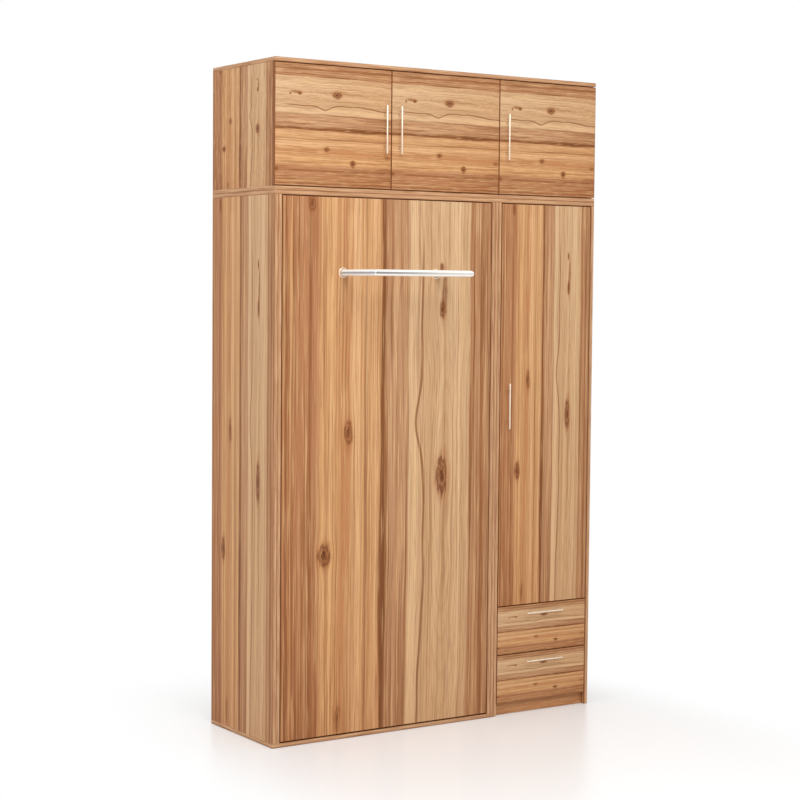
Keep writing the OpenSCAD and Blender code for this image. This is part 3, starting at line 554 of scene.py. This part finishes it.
def rosette_material():
    """Chrome rosette: a bright rim of painted highlight round a dish painted with the wood's reflection.
    """
    material, shader = new_material("rosette_chrome")
    x, _, z = shader.coordinates()
    low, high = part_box("leg_flanges")
    rim = (high[2] - low[2]) / 2
    aside = shader.absolute(shader.minus(x, (low[0] + high[0]) / 2))
    aside = shader.minus(aside, (high[0] - low[0]) / 2 - rim)
    radius = shader.hypot(aside, shader.minus(z, (low[2] + high[2]) / 2))
    on_rim_highlight = shader.level(radius, rim - 3.0 * MM, rim - 2.2 * MM)
    # Painted reflection: a wood-brown dish, and a painted highlight on the rim
    chrome_surface(shader, shader.mix(on_rim_highlight, rgb(204, 176, 152), rgb(255, 244, 230)), 0.35)
    return material


def dark_material(name, colour, roughness, size, depth):
    """Dark paint or rubber with a fine orange-peel or pebbled skin."""
    material, shader = new_material(name)
    skin = shader.cloud(size, 2.0)
    dust = shader.cloud(35.0, 4.0)
    worn = shader.level(dust, 0.5, 0.8, 0.0, 0.12)
    shader.surface({
        "Base Color": shader.mix(worn, colour, rgb(120, 120, 122)),
        "Roughness": shader.gloss(dust, roughness, roughness + 0.12),
        "Normal": shader.bump(skin, depth, 0.5),
    })
    return material


def knitted_material(name, colour, shade, border, knit):
    """Knitted mattress fabric: fine crossing loops, soft mottling, a ribbed border on the sides."""
    material, shader = new_material(name)
    x, _, z = shader.coordinates()
    on_side = shader.level(shader.absolute(shader.coordinates("Normal")[1]), 0.75, 0.35)
    rising = shader.total(x, z)
    loops = shader.times(
        shader.math("SINE", shader.times(rising, knit)),
        shader.math("SINE", shader.times(shader.minus(x, z), knit)))
    ribs = shader.math("SINE", shader.times(rising, 900.0))
    relief = shader.total(shader.times(shader.mix(on_side, loops, ribs), 0.5), 0.5)
    face = shader.mix(shader.level(loops, -0.6, 0.7), shade, colour)
    side = shader.mix(shader.level(ribs, -0.7, 0.6), border, shade)
    mottle = shader.cloud(14.0, 4.0)
    cover = shader.mix(on_side, face, side)
    shader.surface({
        "Base Color": shader.mix(shader.level(mottle, 0.35, 0.75, 0.0, 0.16), cover, shade),
        "Roughness": shader.gloss(mottle, 0.82, 0.92),
        "Sheen Weight": 0.15,
        "Normal": shader.bump(relief, 0.0006, 0.5),
    })
    return material


def webbing_material():
    """Woven polyester strap: herringbone ribs across it, paler worn threads, thick selvedges."""
    material, shader = new_material("strap_webbing")
    lengthwise, across, _ = shader.coordinates("UV")
    herring = shader.math("PINGPONG", shader.times(across, 250.0), 1.25)
    weft = shader.total(lengthwise, shader.times(herring, 0.0009))
    weft = shader.math("SINE", shader.times(weft, 3600.0))
    warp = shader.math("SINE", shader.times(across, 5200.0))
    woven = shader.total(shader.times(weft, 0.35), shader.times(warp, 0.15), 0.5)
    wear = shader.streaks(lengthwise, across, 60.0, 300.0, 2.7, 4.0)
    colour = shader.mix(woven, rgb(30, 31, 34), rgb(74, 76, 82))
    colour = shader.mix(shader.level(wear, 0.52, 0.78, 0.0, 0.35), colour, rgb(110, 112, 118))
    shader.surface({
        "Base Color": colour,
        "Roughness": shader.gloss(wear, 0.62, 0.76),
        "Normal": shader.bump(woven, 0.0004, 0.8),
    })
    return material


PALE_LAMINATE = plain_board_material("pale_laminate", "zzx")
PALE_DRAWER = plain_board_material("pale_laminate_drawer", "yxy")
PALE_WALL_RAIL = plain_board_material("pale_laminate_wall_rail", "zxx")
BIRCH = batten_material()
CHROME = metal_material("polished_chrome", rgb(232, 230, 226), 1.0, 0.10, 700.0, 0.00002)
TUBE_PAINTED_CHROME = tube_material()
ROSETTE_PAINTED_CHROME = rosette_material()
BAR_METAL = metal_material("satin_bar", rgb(238, 222, 202), 0.60, 0.24, 900.0, 0.00003)
ZINC = metal_material("zinc_plate", rgb(186, 189, 194), 1.0, 0.30, 900.0, 0.00005)
STRUT_PAINT = dark_material("strut_paint", rgb(38, 39, 42), 0.30, 900.0, 0.00004)
STOP_RUBBER = dark_material("stop_rubber", rgb(52, 52, 54), 0.62, 1400.0, 0.0001)
KNITTED_COVER = knitted_material(
    "knitted_cover", rgb(238, 235, 228), rgb(222, 217, 207), rgb(196, 190, 180), 1500.0)
PIPING_TAPE = knitted_material(
    "piping_tape", rgb(206, 200, 190), rgb(188, 182, 172), rgb(176, 170, 160), 2600.0)
WEBBING = webbing_material()

# How the print lies on boards: its axis and direction across, then along
UPRIGHT_FRONT = (("x", 1), ("z", -1))
UPRIGHT_SIDE = (("y", -1), ("z", -1))
LYING_FRONT = (("z", 1), ("x", 1))
LYING_FLAT = (("y", -1), ("x", 1))
BOARDS = {
    UPRIGHT_FRONT: ["bed_front_panel", "wardrobe_door"],
    UPRIGHT_SIDE: [
        "bed_side_left", "bed_side_right", "wardrobe_side_left", "wardrobe_side_right",
        "upper_side_left", "upper_side_right", "upper_partition"],
    LYING_FRONT: [
        "upper_door_left", "upper_door_middle", "upper_door_right", "drawer_low_front",
        "drawer_top_front", "wardrobe_plinth"],
    LYING_FLAT: [
        "bed_bottom_panel", "lower_top_panel", "upper_top_panel", "upper_bottom_panel",
        "wardrobe_floor", "wardrobe_shelves"],
}
PLIES = {"bed_side_left": 2, "bed_side_right": 2}
OWN_FINISHES = {
    "drawer_low_box": PALE_DRAWER,
    "drawer_top_box": PALE_DRAWER,
    "wall_rails": PALE_WALL_RAIL,
}
SLOT_FINISHES = {
    "plain_board": PALE_LAMINATE,
    "batten_wood": BIRCH,
    "bright_metal": CHROME,
    "fitting_steel": ZINC,
    "strut_paint": STRUT_PAINT,
    "stop_plastic": STOP_RUBBER,
    "mattress_cover": KNITTED_COVER,
    "strap_webbing": WEBBING,
}


def finish_cad_nodes():
    """Gives every CAD node its finish through its material slots."""
    lies = {name: lie for lie, names in BOARDS.items() for name in names}
    for name, node in frame["nodes"].items():
        for slot in node.material_slots:
            kind = slot.material.name.split(".")[0]
            if name in lies:
                slot.material = board_material(name, *lies[name], PLIES.get(name, 1))
            else:
                slot.material = OWN_FINISHES.get(name, SLOT_FINISHES[kind])


# Modelling helpers

def mode(kind):
    bpy.ops.object.mode_set(mode=kind)


def deselect():
    if bpy.context.object and bpy.context.object.mode != "OBJECT":
        mode("OBJECT")
    bpy.ops.object.select_all(action="DESELECT")


def select_only(piece):
    deselect()
    piece.select_set(True)
    bpy.context.view_layer.objects.active = piece


def named(name):
    """The object just added, named."""
    piece = bpy.context.object
    piece.name = name
    piece.data.name = name
    return piece


def apply_transform():
    bpy.ops.object.transform_apply(location=True, rotation=True, scale=True)


def modify(piece, kind, **settings):
    """Adds a modifier to the active piece and applies it."""
    modifier = piece.modifiers.new(kind, kind)
    for name, value in settings.items():
        setattr(modifier, name, value)
    bpy.ops.object.modifier_apply(modifier=modifier.name)


def face_outward():
    mode("EDIT")
    bpy.ops.mesh.select_all(action="SELECT")
    bpy.ops.mesh.normals_make_consistent(inside=False)
    mode("OBJECT")


def smooth(piece, angle=35.0):
    select_only(piece)
    bpy.ops.object.shade_smooth_by_angle(angle=math.radians(angle))


def rod(name, radius, start, end, edge, sides=32):
    """Straight rod between two points along z or y, its end edges rounded."""
    start, end = Vector(start), Vector(end)
    axis = end - start
    deselect()
    bpy.ops.mesh.primitive_cylinder_add(vertices=sides, radius=radius, depth=axis.length)
    piece = named(name)
    mode("EDIT")
    bpy.ops.mesh.select_all(action="DESELECT")
    mode("OBJECT")
    for line in piece.data.edges:
        one, other = (piece.data.vertices[index].co.z for index in line.vertices)
        line.select = abs(one - other) < radius * 0.01
    mode("EDIT")
    bpy.ops.mesh.select_mode(type="EDGE")
    bpy.ops.mesh.bevel(offset=edge, segments=3, profile=0.5)
    mode("OBJECT")
    piece.rotation_euler = axis.to_track_quat("Z", "Y").to_euler()
    piece.location = (start + end) / 2
    apply_transform()
    return piece


def join(name, pieces):
    """One object of several, named."""
    select_only(pieces[0])
    for piece in pieces:
        piece.select_set(True)
    bpy.ops.object.join()
    return named(name)


def copy_of(pattern, name):
    piece = pattern.copy()
    piece.data = pattern.data.copy()
    piece.name = name
    piece.data.name = name
    bpy.context.scene.collection.objects.link(piece)
    return piece


def settle(piece, material, body, slot, *nodes):
    """Gives a finished piece its material and body, and hides the nodes it stands for; the slot is not
    used.
    """
    select_only(piece)
    apply_transform()
    if material:
        piece.data.materials.clear()
        piece.data.materials.append(material)
    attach(piece, body)
    if nodes:
        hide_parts(*nodes)


# Bar handles

HANDLES = {
    "upper_handle_left": "left_door",
    "upper_handle_middle": "middle_door",
    "upper_handle_right": "right_door",
    "wardrobe_handle": "tall_door",
    "drawer_low_handle": "low_drawer",
    "drawer_top_handle": "top_drawer",
}
HANDLE_RADIUS = 3.0 * MM
HANDLE_PITCH = 128.0 * MM
POST_RADIUS = 2.5 * MM
FRONT_Y = part(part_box("bed_front_panel")[0], "y")


def handles():
    """One bar on two posts, modelled upright at the origin and copied to each front."""
    low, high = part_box("wardrobe_handle")
    half = (high[2] - low[2]) / 2
    bar_y = low[1] + HANDLE_RADIUS - FRONT_Y
    parts = [rod("bar", HANDLE_RADIUS, (0, bar_y, -half), (0, bar_y, half), 0.9 * MM)]
    parts[0].data.materials.append(BAR_METAL)
    for z in (-HANDLE_PITCH / 2, HANDLE_PITCH / 2):
        post = rod("post", POST_RADIUS, (0, bar_y, z), (0, 0, z), 0.3 * MM, 24)
        post.data.materials.append(CHROME)
        parts.append(post)
    pattern = join("handle_pattern", parts)
    smooth(pattern)
    for node, body in HANDLES.items():
        low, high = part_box(node)
        piece = copy_of(pattern, "bar_" + node)
        if high[0] - low[0] > high[2] - low[2]:
            piece.rotation_euler = (0.0, math.radians(90.0), 0.0)
        piece.location = ((low[0] + high[0]) / 2, FRONT_Y, (low[2] + high[2]) / 2)
        settle(piece, None, body, "bright_metal", node)
    bpy.data.objects.remove(pattern)


# Leg: one bent tube and the two rosettes that hold it

TUBE_RADIUS = 12.5 * MM
TUBE_CORNER = 5.0 * MM


def leg_tube():
    """A ring drawn out of the panel, round two mitred corners and back to the panel."""
    low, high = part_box("leg_frame")
    left, right = low[0] + TUBE_RADIUS, high[0] - TUBE_RADIUS
    bar_y, z = low[1] + TUBE_RADIUS, (low[2] + high[2]) / 2
    deselect()
    bpy.ops.mesh.primitive_circle_add(
        vertices=40, radius=TUBE_RADIUS, fill_type="NGON", location=(left, FRONT_Y, z),
        rotation=(math.radians(90.0), 0.0, 0.0))
    piece = named("leg_tube")
    apply_transform()
    # Where each ring lies, for a point that far aside of the tube's middle
    stations = [
        lambda aside: (left + aside, bar_y + aside),
        lambda aside: (right - aside, bar_y + aside),
        lambda aside: (right - aside, FRONT_Y),
    ]
    mode("EDIT")
    bpy.ops.mesh.select_mode(type="FACE")
    bpy.ops.mesh.select_all(action="SELECT")
    for number, station in enumerate(stations):
        mode("EDIT")
        bpy.ops.mesh.extrude_region_move(TRANSFORM_OT_translate={"value": (0.0, -1.0 * MM, 0.0)})
        mode("OBJECT")
        for vertex in piece.data.vertices:
            if vertex.select:
                aside = right - vertex.co.x if number == 2 else vertex.co.x - left
                vertex.co.x, vertex.co.y = station(aside)
    for line in piece.data.edges:
        ends = [piece.data.vertices[index].co for index in line.vertices]
        line.select = all(abs(end.y - bar_y) < TUBE_RADIUS * 1.01 for end in ends) and (
            abs(ends[0].x - ends[1].x) < TUBE_RADIUS)
    mode("EDIT")
    bpy.ops.mesh.select_mode(type="EDGE")
    bpy.ops.mesh.bevel(offset=TUBE_CORNER, segments=5, profile=0.5)
    face_outward()
    smooth(piece, 40.0)
    settle(piece, TUBE_PAINTED_CHROME, "bed", "bright_metal", "leg_frame")


def rosette_ring(rim):
    """Dished ring with a collar round the tube, spun about the tube's axis."""
    bore, rim = TUBE_RADIUS / MM, rim / MM
    # Radius, and height above the panel, in millimetres
    profile = [
        (bore + 0.2, 0.0), (bore + 0.2, 8.4), (bore + 0.8, 9.0), (bore + 1.6, 8.6), (bore + 2.0, 3.0),
        (bore + 2.8, 1.5), (rim - 2.6, 1.2), (rim - 1.9, 2.5), (rim - 1.1, 3.0), (rim - 0.3, 2.4),
        (rim, 1.2), (rim, 0.0)]
    deselect()
    bpy.ops.mesh.primitive_circle_add(vertices=len(profile), radius=0.01, fill_type="NOTHING")
    ring = named("ring")
    for vertex, (radius, out) in zip(ring.data.vertices, profile):
        vertex.co = (radius * MM, -out * MM, 0.0)
    mode("EDIT")
    bpy.ops.mesh.select_all(action="SELECT")
    bpy.ops.mesh.spin(steps=48, angle=math.tau, center=(0.0, 0.0, 0.0), axis=(0.0, 1.0, 0.0))
    bpy.ops.mesh.select_all(action="SELECT")
    bpy.ops.mesh.remove_doubles(threshold=0.01 * MM)
    face_outward()
    return ring


def rosettes():
    """A ring with three screws at each end of the leg."""
    low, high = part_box("leg_flanges")
    rim = (high[2] - low[2]) / 2
    parts = [rosette_ring(rim)]
    away = (rim + TUBE_RADIUS + 2.0 * MM) / 2
    for angle in (90.0, 210.0, 330.0):
        x, up = away * math.cos(math.radians(angle)), away * math.sin(math.radians(angle))
        parts.append(rod("screw", 2.1 * MM, (x, -2.6 * MM, up), (x, -0.4 * MM, up), 0.8 * MM, 20))
    pattern = join("rosette_pattern", parts)
    smooth(pattern, 30.0)
    for side, x in (("left", low[0] + rim), ("right", high[0] - rim)):
        piece = copy_of(pattern, "leg_rosette_" + side)
        piece.location = (x, FRONT_Y, (low[2] + high[2]) / 2)
        settle(piece, ROSETTE_PAINTED_CHROME, "bed", "bright_metal", "leg_flanges")
    bpy.data.objects.remove(pattern)


# Mattress

CORNER_RADIUS = 45.0 * MM
CELL = 20.0 * MM
DIAMOND = 8
CROWN = 6.0 * MM
# How far the top and the other faces may swell
TOP_SWELL = 8.0 * MM
SIDE_SWELL = 3.0 * MM
PRESSURE = 90.0
SWELL_FRAMES = 22
CORD_RADIUS = 3.0 * MM
# Height above the underside as a share of the thickness, and how far the outline is drawn in
SHELL = [(0.0, 15.0), (0.02, 5.0), (0.075, 1.5), (0.22, 2.6), (0.40, 3.6), (0.60, 3.6),
         (0.78, 2.6), (0.925, 1.5), (0.98, 5.0), (1.0, 15.0)]
PIPED = (0.075, 0.925)


def rounded(across, along, half_w, half_l):
    """A point of the -1..1 square moved into the rounded rectangle."""
    x, z = across * half_w, along * half_l
    past_x, past_z = abs(x) - (half_w - CORNER_RADIUS), abs(z) - (half_l - CORNER_RADIUS)
    if past_x > 0.0 and past_z > 0.0:
        pull = max(past_x, past_z) / math.hypot(past_x, past_z)
        x = math.copysign(half_w - CORNER_RADIUS + past_x * pull, x)
        z = math.copysign(half_l - CORNER_RADIUS + past_z * pull, z)
    return x, z


def mattress_shell(low, high, thick):
    """Grid drawn up ring by ring; each vertex keeps its seat, across and along -1..1."""
    middle_x, middle_z = (low.x + high.x) / 2, (low.z + high.z) / 2
    columns, rows = round((high.x - low.x) / CELL), round((high.z - low.z) / CELL)
    deselect()
    bpy.ops.mesh.primitive_grid_add(x_subdivisions=columns, y_subdivisions=rows, size=2.0)
    piece = named("mattress_body")
    seat = piece.data.attributes.new("seat", "FLOAT_VECTOR", "POINT")
    for vertex in piece.data.vertices:
        seat.data[vertex.index].vector = vertex.co
    for share, drawn_in in SHELL:
        if share > 0.0:
            mode("EDIT")
            bpy.ops.mesh.extrude_region_move(TRANSFORM_OT_translate={"value": (0.0, 0.0, 0.0)})
            mode("OBJECT")
        seat = piece.data.attributes["seat"].data
        half_w = (high.x - low.x) / 2 - drawn_in * MM
        half_l = (high.z - low.z) / 2 - drawn_in * MM
        for vertex in piece.data.vertices:
            if vertex.select:
                across, along, _ = seat[vertex.index].vector
                x, z = rounded(across, along, half_w, half_l)
                vertex.co = (middle_x + x, low.y + thick * share, middle_z + z)
                seat[vertex.index].vector = (across, along, share)
    seats = [tuple(entry.vector) for entry in piece.data.attributes["seat"].data]
    piece.data.attributes.remove(piece.data.attributes["seat"])
    face_outward()
    return piece, seats, columns, rows


def is_piped(seat):
    return any(abs(seat[2] - edge) < 0.001 for edge in PIPED)


def is_seam(seat, columns, rows):
    """On the diamonds of the two quilted faces, or on the piped edges."""
    across, along, share = seat
    if is_piped(seat):
        return True
    if 0.001 < share < 0.999:
        return False
    column = round((across + 1.0) / 2.0 * columns)
    row = round((along + 1.0) / 2.0 * rows)
    return (column + row) % DIAMOND == 0 or (column - row) % DIAMOND == 0


def inflate(piece, seams, reach):
    """Lets the cover swell between its seams, each point by no more than reach(point)."""
    group = piece.vertex_groups.new(name="seams")
    group.add(seams, 1.0, "REPLACE")
    cloth = piece.modifiers.new("cover", "CLOTH")
    cloth.settings.quality = 4
    cloth.settings.mass = 0.25
    cloth.settings.tension_stiffness = 6.0
    cloth.settings.compression_stiffness = 6.0
    cloth.settings.bending_stiffness = 0.4
    cloth.settings.use_pressure = True
    cloth.settings.uniform_pressure_force = PRESSURE
    cloth.settings.vertex_group_mass = "seams"
    cloth.settings.effector_weights.gravity = 0.0
    cloth.point_cache.frame_end = SWELL_FRAMES
    scene = bpy.context.scene
    for number in range(1, SWELL_FRAMES + 1):
        scene.frame_set(number)
    swollen = piece.evaluated_get(bpy.context.evaluated_depsgraph_get())
    places = [vertex.co.copy() for vertex in swollen.data.vertices]
    piece.modifiers.remove(cloth)
    piece.vertex_groups.remove(group)
    scene.frame_set(1)
    for vertex, place in zip(piece.data.vertices, places):
        step = place - vertex.co
        limit = reach(vertex.co)
        if step.length > limit:
            step *= limit / step.length
        vertex.co += step


def piping(shell, seats):
    """Cord sewn along the two piped edges: their loops drawn off the shell as thin tubes."""
    cord = copy_of(shell, "mattress_piping")
    select_only(cord)
    mode("EDIT")
    bpy.ops.mesh.select_mode(type="VERT")
    bpy.ops.mesh.select_all(action="DESELECT")
    mode("OBJECT")
    for vertex, seat in zip(cord.data.vertices, seats):
        vertex.select = not is_piped(seat)
    mode("EDIT")
    bpy.ops.mesh.delete(type="VERT")
    mode("OBJECT")
    bpy.ops.object.convert(target="CURVE")
    cord = bpy.context.object
    cord.data.bevel_depth = CORD_RADIUS
    cord.data.bevel_resolution = 3
    bpy.ops.object.convert(target="MESH")
    cord = named("mattress_piping")
    smooth(cord, 60.0)
    settle(cord, PIPING_TAPE, "bed", "mattress_cover")
    return cord


def mattress():
    low, high = (Vector(corner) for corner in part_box("mattress"))
    thick = high.y - low.y - CROWN - TOP_SWELL
    piece, seats, columns, rows = mattress_shell(low, high, thick)
    cord = piping(piece, seats)
    select_only(piece)
    seams = [index for index, seat in enumerate(seats) if is_seam(seat, columns, rows)]
    top = low.y + thick - 1.0 * MM
    inflate(piece, seams, lambda place: TOP_SWELL if place.y > top else SIDE_SWELL)
    for vertex, (across, along, share) in zip(piece.data.vertices, seats):
        if share > 0.999:
            vertex.co.y += CROWN * (1.0 - across ** 2) * (1.0 - along ** 4)
    modify(piece, "SUBSURF", levels=1, render_levels=1)
    bpy.ops.object.shade_smooth()
    settle(piece, KNITTED_COVER, "bed", "mattress_cover", "mattress")
    return piece, cord


# Straps over the mattress

STRAP_WIDTH = 40.0 * MM
STRAP_THICKNESS = 1.8 * MM
BUCKLE_LENGTH = 52.0 * MM
BUCKLE_WIDTH = 50.0 * MM


def upper_hull(points):
    """The taut line over points that are sorted by their first value."""
    hull = []
    for point in points:
        while len(hull) > 1:
            (x0, y0), (x1, y1) = hull[-2:]
            if (x1 - x0) * (point[1] - y0) - (y1 - y0) * (point[0] - x0) < 0.0:
                break
            hull.pop()
        hull.append(point)
    return hull


def lengths_along(points):
    """Distance from the first point to each point along their line."""
    lengths = [0.0]
    for one, other in zip(points, points[1:]):
        lengths.append(lengths[-1] + math.dist(one, other))
    return lengths


def eased(points, spacing):
    """Points at even spacing along a line of (x, y), its corners rounded by averaging."""
    lengths = lengths_along(points)
    count = max(8, round(lengths[-1] / spacing))
    even = []
    segment = 0
    for number in range(count + 1):
        at = lengths[-1] * number / count
        while segment < len(points) - 2 and lengths[segment + 1] < at:
            segment += 1
        span = max(lengths[segment + 1] - lengths[segment], 1e-9)
        share = (at - lengths[segment]) / span
        one, other = points[segment], points[segment + 1]
        even.append(tuple(a + (b - a) * share for a, b in zip(one, other)))
    inner = [tuple((a + 2.0 * b + c) / 4.0 for a, b, c in zip(*three))
             for three in zip(even, even[1:], even[2:])]
    return [even[0]] + inner + [even[-1]]


def ribbon(name, path, z):
    """Webbing along a path of (x, y) at a height z, with UVs in metres for its weave."""
    deselect()
    bpy.ops.mesh.primitive_grid_add(x_subdivisions=len(path) - 1, y_subdivisions=4, size=2.0)
    piece = named(name)
    lengths = lengths_along(path)
    steps = []
    for vertex in piece.data.vertices:
        step = round((vertex.co.x + 1.0) / 2.0 * (len(path) - 1))
        steps.append(step)
        x, y = path[step]
        vertex.co = (x, y, z + vertex.co.y * STRAP_WIDTH / 2)
    weave = piece.data.uv_layers.active.data
    for loop in piece.data.loops:
        uv = weave[loop.index].uv
        weave[loop.index].uv = (lengths[steps[loop.vertex_index]], uv[1] * STRAP_WIDTH)
    modify(piece, "SOLIDIFY", thickness=STRAP_THICKNESS, offset=0.0)
    face_outward()
    smooth(piece, 40.0)
    return piece


def buckle(name, x, y, z):
    """Flat frame with a bar across it and a lever plate that clamps the webbing."""
    deselect()
    bpy.ops.mesh.primitive_plane_add(size=1.0)
    plate = named("buckle_frame")
    plate.scale = (BUCKLE_LENGTH, BUCKLE_WIDTH, 1.0)
    apply_transform()
    mode("EDIT")
    bpy.ops.mesh.select_all(action="SELECT")
    bpy.ops.mesh.inset(thickness=4.5 * MM)
    bpy.ops.mesh.delete(type="FACE")
    mode("OBJECT")
    modify(plate, "SOLIDIFY", thickness=3.0 * MM)
    modify(plate, "BEVEL", width=0.9 * MM, segments=3)
    reach, deep = BUCKLE_WIDTH / 2 - 1.0 * MM, -1.5 * MM
    bar = rod("buckle_bar", 2.0 * MM, (0.0, -reach, deep), (0.0, reach, deep), 0.4 * MM, 20)
    deselect()
    bpy.ops.mesh.primitive_cube_add(size=1.0, location=(9.0 * MM, 0.0, 0.6 * MM))
    lever = named("buckle_lever")
    lever.scale = (25.0 * MM, 38.0 * MM, 1.6 * MM)
    lever.rotation_euler = (0.0, math.radians(-5.0), 0.0)
    apply_transform()
    modify(lever, "BEVEL", width=0.6 * MM, segments=3)
    piece = join(name, [plate, bar, lever])
    piece.rotation_euler = (math.radians(-90.0), 0.0, 0.0)
    piece.location = (x, y, z)
    smooth(piece)
    settle(piece, ZINC, "bed", "fitting_steel")


def outline(pieces, z, clear):
    """Points (x, y) round every vertex near a buckle's height z, moved off by a clearance."""
    turns = [math.radians(30.0 * number) for number in range(12)]
    ring = [(clear * math.cos(turn), clear * math.sin(turn)) for turn in turns]
    points = set()
    for piece in pieces:
        for vertex in piece.data.vertices:
            x, y, height = vertex.co
            if abs(height - z) < BUCKLE_WIDTH / 2:
                points.update((x + dx, y + dy) for dx, dy in ring)
    return sorted(points)


def straps(body, cord):
    """Two taut straps from rail to rail, each with a buckle and a sewn tail."""
    low, high = (Vector(corner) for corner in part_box("mattress_straps"))
    foot_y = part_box("bed_frame_rails")[1][1] + STRAP_THICKNESS / 2
    middle = (low.x + high.x) / 2
    for name, z in (("low", low.z + BUCKLE_WIDTH / 2), ("high", high.z - BUCKLE_WIDTH / 2)):
        points = outline((body, cord), z, 1.5 * MM)
        beside = [point for point in points if point[1] > foot_y + 15.0 * MM]
        left, right = beside[0][0] - 0.2 * MM, beside[-1][0] + 0.2 * MM
        taut = upper_hull([(left, foot_y)] + beside + [(right, foot_y)])
        path = eased([(low.x, foot_y)] + taut + [(high.x, foot_y)], 2.5 * MM)
        top = max(y for x, y in path if abs(x - middle) < 60.0 * MM)
        strap = ribbon("strap_" + name, path, z)
        tail = ribbon("tail", [(middle + x * MM, top + 2.1 * MM) for x in range(-4, 130, 8)], z)
        piece = join("strap_" + name, [strap, tail])
        settle(piece, WEBBING, "bed", "strap_webbing", "mattress_straps")
        buckle("strap_buckle_" + name, middle, top + 4.6 * MM, z)


# Camera, solved from the lines of the cabinets in the photograph

def camera(at, lens, yaw, pitch, roll):
    """Camera turned to the right, tilted down and then rolled, in degrees."""
    place = Matrix.Translation(at)
    for degrees, axis in ((-yaw, "Z"), (90.0 - pitch, "X"), (roll, "Z")):
        place = place @ Matrix.Rotation(math.radians(degrees), 4, axis)
    data = bpy.data.cameras.new("camera")
    data.lens = lens
    data.sensor_width = 36.0
    data.clip_end = 200.0
    eye = bpy.data.objects.new("camera", data)
    bpy.context.scene.collection.objects.link(eye)
    eye.matrix_world = place
    bpy.context.scene.camera = eye


# Studio

SOFT_LIGHT = 0.62
LAMP_SIZE = 3.4
LAMP_TARGET = Vector((0.0, 0.0, 1.3))
# Beside and in front of this, the floor fades to the backdrop's white
SHADOW_HALF_WIDTH = 0.66
SHADOW_FRONT_Y = -0.60


def seen_directly(shader):
    """1 for rays of the camera, of mirrors and of glass."""
    path = shader.add("LightPath").outputs
    seen = shader.math("MAXIMUM", path["Is Camera Ray"], path["Is Glossy Ray"])
    return shader.math("MAXIMUM", seen, path["Is Transmission Ray"])


def blended(shader, factor, first, second, output):
    """Ends a tree in a mix of two shader nodes."""
    blend = shader.add("MixShader", {"Fac": factor})
    shader.put(blend.inputs[1], first.outputs[0])
    shader.put(blend.inputs[2], second.outputs[0])
    shader.add(output, {"Surface": blend.outputs[0]})


def floor():
    """White floor that keeps the shadow near the cabinets and fades to the backdrop's white."""
    bpy.ops.mesh.primitive_circle_add(
        vertices=96, radius=60.0, fill_type="NGON", location=(0.0, 0.0, -1.0 * MM))
    piece = named("studio_floor")
    material, shader = new_material("studio_floor")
    x, y, _ = shader.coordinates()
    beside = shader.math("MAXIMUM", shader.minus(shader.absolute(x), SHADOW_HALF_WIDTH), 0.0)
    distance = shader.hypot(shader.times(beside, 3.0), shader.minus(y, SHADOW_FRONT_Y))
    dull = shader.add("BsdfPrincipled", {
        "Base Color": grey(0.90), "Roughness": 0.28, "Specular IOR Level": 0.35})
    white = shader.add("Emission", {"Color": grey(1.0), "Strength": 1.0})
    far = shader.times(shader.level(distance, 0.35, 1.9, 0.10, 1.0), seen_directly(shader))
    blended(shader, far, dull, white, "OutputMaterial")
    piece.data.materials.append(material)


def world():
    """Soft white light from all round, before a plain white backdrop."""
    studio = bpy.data.worlds.new("studio")
    studio.use_nodes = True
    studio.node_tree.nodes.clear()
    shader = Shader(studio.node_tree)
    soft = shader.add("Background", {"Color": grey(1.0), "Strength": SOFT_LIGHT})
    white = shader.add("Background", {"Color": grey(1.0), "Strength": 1.0})
    blended(shader, seen_directly(shader), soft, white, "OutputWorld")
    bpy.context.scene.world = studio


def lamp(name, at, power):
    data = bpy.data.lights.new(name, "AREA")
    data.shape = "RECTANGLE"
    data.size = data.size_y = LAMP_SIZE
    data.energy = power
    light = bpy.data.objects.new(name, data)
    light.location = at
    light.rotation_euler = (LAMP_TARGET - Vector(at)).to_track_quat("-Z", "Y").to_euler()
    bpy.context.scene.collection.objects.link(light)


deselect()
camera((-4.358, -6.552, 1.776), lens=85.725, yaw=33.42, pitch=3.39, roll=0.493)
finish_cad_nodes()
handles()
leg_tube()
rosettes()
straps(*mattress())
floor()
world()
lamp("key", (-1.5, -4.6, 5.0), 228.0)
lamp("side", (-6.0, -1.2, 4.3), 122.0)
bpy.context.scene.view_settings.view_transform = "Standard"
